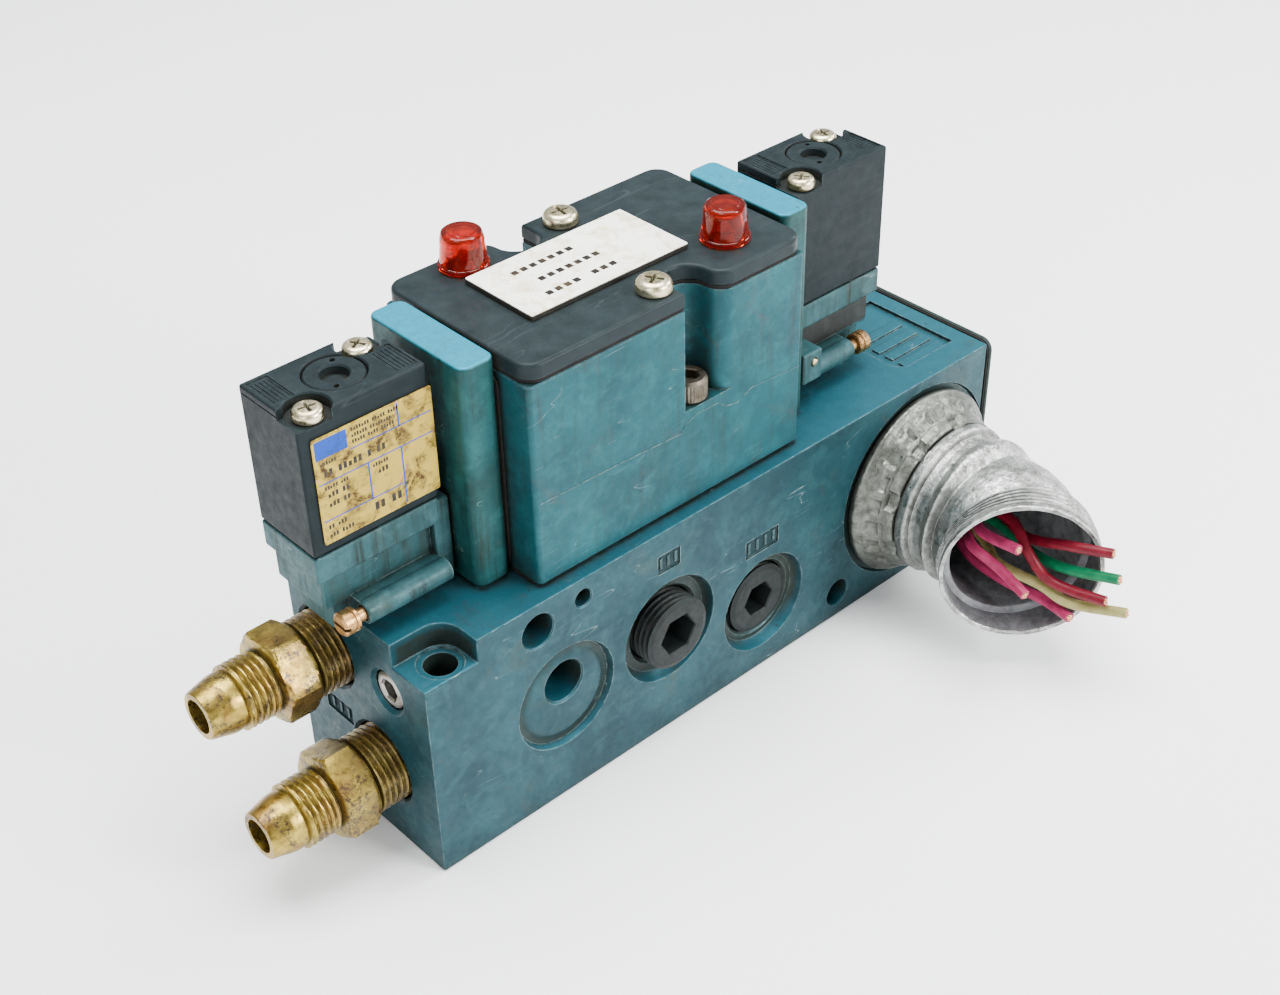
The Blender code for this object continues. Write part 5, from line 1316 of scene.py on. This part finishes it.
def pilot_base(side, sign):
    """Stepped casting under the coil, its flange against the end cap, and the operator barrel."""
    node = f"pilot_base_{side}"
    low, high = corners(node)
    case_low, case_high = corners(f"coil_housing_{side}")
    cap_face = lowest("end_cap_left").x - 0.3 if sign < 0 else highest("end_cap_right").x + 0.3
    outer = case_low.x if sign < 0 else case_high.x
    front, back, foot = case_low.y, case_high.y, low.z

    def block(near, far, *sides, rounding=0.5):
        """Block from near the end cap to near the outer end."""
        return soften(box(*sorted((cap_face + sign * near, outer - sign * far)), *sides), rounding)

    def flange(near, far, *sides, rounding=0.5):
        """Block between two distances from the end cap."""
        return soften(box(*sorted((cap_face + sign * near, cap_face + sign * far)), *sides), rounding)

    parts = [block(0.9, 1.5, front + 1.9, back - 0.4, STEP, BAND + 0.9),
             block(0.5, 3.4, front + 2.6, back - 0.8, foot, STEP + 0.9)]
    if side == LUG_SIDE:
        # Painted shade: a dark skin over the shaded middle block of this pilot.
        grime_and_shade = block(3.6, 1.4, front + 1.84, back - 1.5, STEP + 0.6, BAND - 0.05)
        add_piece("painted_shade_skin", grime_and_shade, "pilot_painted_shade")
        parts += [flange(0.2, 3.4, front + 0.3, back - 0.3, foot + 0.5, high.z - 0.8),
                  flange(0, 6.2, LUG_FRONT, back - 0.2, STEP - 1.5, STEP + 6.2, rounding=0.6)]
    else:
        parts.append(flange(0.2, 4.2, front + 0.1, back - 0.3, foot + 0.5, high.z - 0.8))
    pin = middle(f"operator_pin_{side}")
    end, start = BARREL_ENDS[side], cap_face + sign * (0.7 if side == LUG_SIDE else 3.9)
    parts += [turned("X", pin, [(start, 0), (start, 2.45), (end - sign * 0.4, 2.45), (end, 2.15),
                                (end, 0)], 40),
              box(*sorted((start, end)), pin.y, front + 5, pin.z - 2.1, pin.z + 2.1)]
    cuts = [hole("X", pin, 1.7, end + sign, end - sign * 9, 32),
            hole("Z", middle(f"pole_piece_{side}"), 4.3, 70.9, high.z + 1, 32)]
    if side == LUG_SIDE:
        rivet_axis = (cap_face + sign * 3.6, RIVET_Z)
        cuts.append(turned("Y", rivet_axis, shifted(LUG_FRONT, [
            (-1, 0), (-1, 1.9), (0.3, 1.0), (2, 1.0), (2, 0)]), 24))
        rivet = shifted(LUG_FRONT, [(-0.4, 0), (-0.4, 0.35), (-0.3, 0.75), (0.1, 0.95), (1.4, 0.95),
                                    (1.4, 0)])
        add_piece("lug_rivet", turned("Y", rivet_axis, rivet, 24), "zinc_screw")
    top_band = block(2.6, 0, front, back, BAND, high.z, rounding=0.6)
    casting = carve(carve(top_band, "UNION", *parts), "DIFFERENCE", *cuts)
    add_piece(f"pilot_casting_{side}", casting, "pilot_cast", nodes=[node])


def operator_pin(side, sign):
    """Brass push pin with a grooved, slotted head."""
    node = f"operator_pin_{side}"
    low, high = corners(node)
    centre = middle(node)
    tip, inner = (low.x, high.x) if sign < 0 else (high.x, low.x)
    profile = ([(inner, 0), (inner, 1.4)]
               + shifted(tip - sign * 3.6, [(0, 1.4), (0, 2.2), (0.25, 2.5), (0.8, 2.5), (1.0, 2.2),
                                            (1.35, 2.2), (1.55, 2.5)], sign)
               + shifted(tip, [(-0.5, 2.5), (0, 2.0), (0, 0)], sign))
    slot = box(*sorted((tip + sign, tip - sign)), centre.y - 3, centre.y + 3,
               centre.z - 0.4, centre.z + 0.4)
    add_piece(f"push_pin_{side}", carve(turned("X", centre, profile, 48), "DIFFERENCE", slot),
              "pin_brass", body=node, nodes=[node])


def return_spring(side):
    """Round-wire coil spring on the armature's neck."""
    node, joint_name = f"armature_spring_{side}", f"armature_{side}_lift"
    low, high = corners(node)
    axis = middle(f"pole_piece_{side}")
    wire, steps = 0.3, 20
    radius, start, end = (high.x - axis.x) - wire, low.z + wire, high.z - wire
    rings = []
    for i in range(4 * steps + 1):
        outward = Vector((math.cos(2 * math.pi * i / steps), math.sin(2 * math.pi * i / steps), 0))
        point = Vector((axis.x, axis.y, start + (end - start) * i / (4 * steps))) + outward * radius
        rings.append([point + outward * wire * math.cos(math.pi * k / 5)
                      + Vector((0, 0, wire * math.sin(math.pi * k / 5))) for k in range(10)])
    spring = add_piece(f"return_spring_{side}", skin(rings, caps=True), "steel", nodes=[node])
    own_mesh(spring)


RULE = 0.010
LABEL_RULES = (
    (0.02, 0.28, 0.80, 0.97), (0.30, 0.98, 0.765, 0.765 + RULE), (0.02, 0.98, 0.565, 0.565 + RULE),
    (0.02, 0.70, 0.215, 0.215 + RULE), (0.70, 0.712, 0.02, 0.565), (0.42, 0.432, 0.215, 0.565),
    (0.70, 0.712, 0.765, 0.98))
LABEL_ROWS = (
    (0.32, 0.925, 0.034, (7, 5, 4)), (0.32, 0.868, 0.034, (6, 8)), (0.32, 0.812, 0.034, (5, 4, 5)),
    (0.05, 0.735, 0.034, (6,)), (0.07, 0.625, 0.062, (2, 5, 1, 2)), (0.06, 0.505, 0.034, (5, 3)),
    (0.08, 0.425, 0.046, (3, 2)), (0.08, 0.335, 0.046, (3, 2)), (0.46, 0.505, 0.034, (6,)),
    (0.50, 0.425, 0.046, (3,)), (0.05, 0.135, 0.040, (2, 3)), (0.05, 0.055, 0.040, (3, 4)),
    (0.44, 0.095, 0.075, (2, 2)))


def pilot_label():
    """Paper label with a blue block, rules and rows of plain marks, placed in shares of its size."""
    low, high = corners("pilot_label")
    wide, tall = high.x - low.x, high.z - low.z
    paper = prism("Y", rectangle(low.x, high.x, low.z, high.z, 0.5, 4), low.y, high.y)
    add_piece("label_paper", soften(paper, 0.04, 1), "label", nodes=["pilot_label"])

    def mark(u0, u1, v0, v1):
        return box(low.x + wide * u0, low.x + wide * u1, low.y - 0.02, low.y + 0.05,
                   low.z + tall * v0, low.z + tall * v1)

    rules = [mark(*sides) for sides in LABEL_RULES]
    add_piece("label_rules", join(*rules), "print_blue")
    marks = []
    for u, v, size, words in LABEL_ROWS:
        for word in words:
            for number in range(word):
                tall_share = size * (1.0 if (number * 5 + word) % 3 else 0.7)
                marks.append(mark(u, u + size * 0.42, v, v + tall_share))
                u += size * 0.66
            u += size * 0.6
    add_piece("label_marks", join(*marks), "print_dark")


def finish_hidden_nodes():
    """Nodes whose CAD shape stays get the same finishes as the new pieces."""
    finishes = {"spool": "steel", "socket_block": "black_plastic", "pin_block": "black_plastic"}
    for n in (1, 2):
        finishes[f"end_cover_screw_{n}"] = "zinc_screw"
    for side in SIDES:
        finishes[f"piston_{side}"] = "black_plastic"
        finishes[f"coil_{side}"] = "copper"
        finishes[f"armature_{side}"] = "steel"
    for node, finish in finishes.items():
        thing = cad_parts[node]
        for slot in thing.material_slots:
            slot.material = FINISHES[finish]


make_camera()
FINISHES = make_materials()
make_studio()
for wire_name, wire_route in WIRE_ROUTES.items():
    lead_wire(wire_name, wire_route)
conduit_elbow()
elbow_locknut()
manifold_base()
end_plates()
pipe_plug("inlet_plug", 4.9)
pipe_plug("exhaust_plug", 4.3)
flow_screw()
base_seal()
tube_fitting("fitting_upper", 0.12)
tube_fitting("fitting_lower", 0.42)
valve_body()
top_cover()
legend_plate()
for number, position in enumerate(POSITIONS):
    pan_screw(f"cover_pan_screw_{position}", f"cover_screw_{position}", 2.6, 0.5 + 0.9 * number)
    socket_bolt(f"socket_bolt_{position}", f"body_bolt_{position}")
for side_name, way in SIDES.items():
    lens(side_name)
    lamp(side_name)
    end_cap(side_name, way)
    cap_seal(side_name)
    coil_housing(side_name)
    pilot_base(side_name, way)
    return_spring(side_name)
    operator_pin(side_name, way)
    for number, position in enumerate(POSITIONS):
        pan_screw(f"pilot_pan_screw_{side_name}_{position}", f"pilot_screw_{side_name}_{position}",
                  2.2, 0.2 + 0.7 * number + 0.4 * way)
pilot_label()
finish_hidden_nodes()
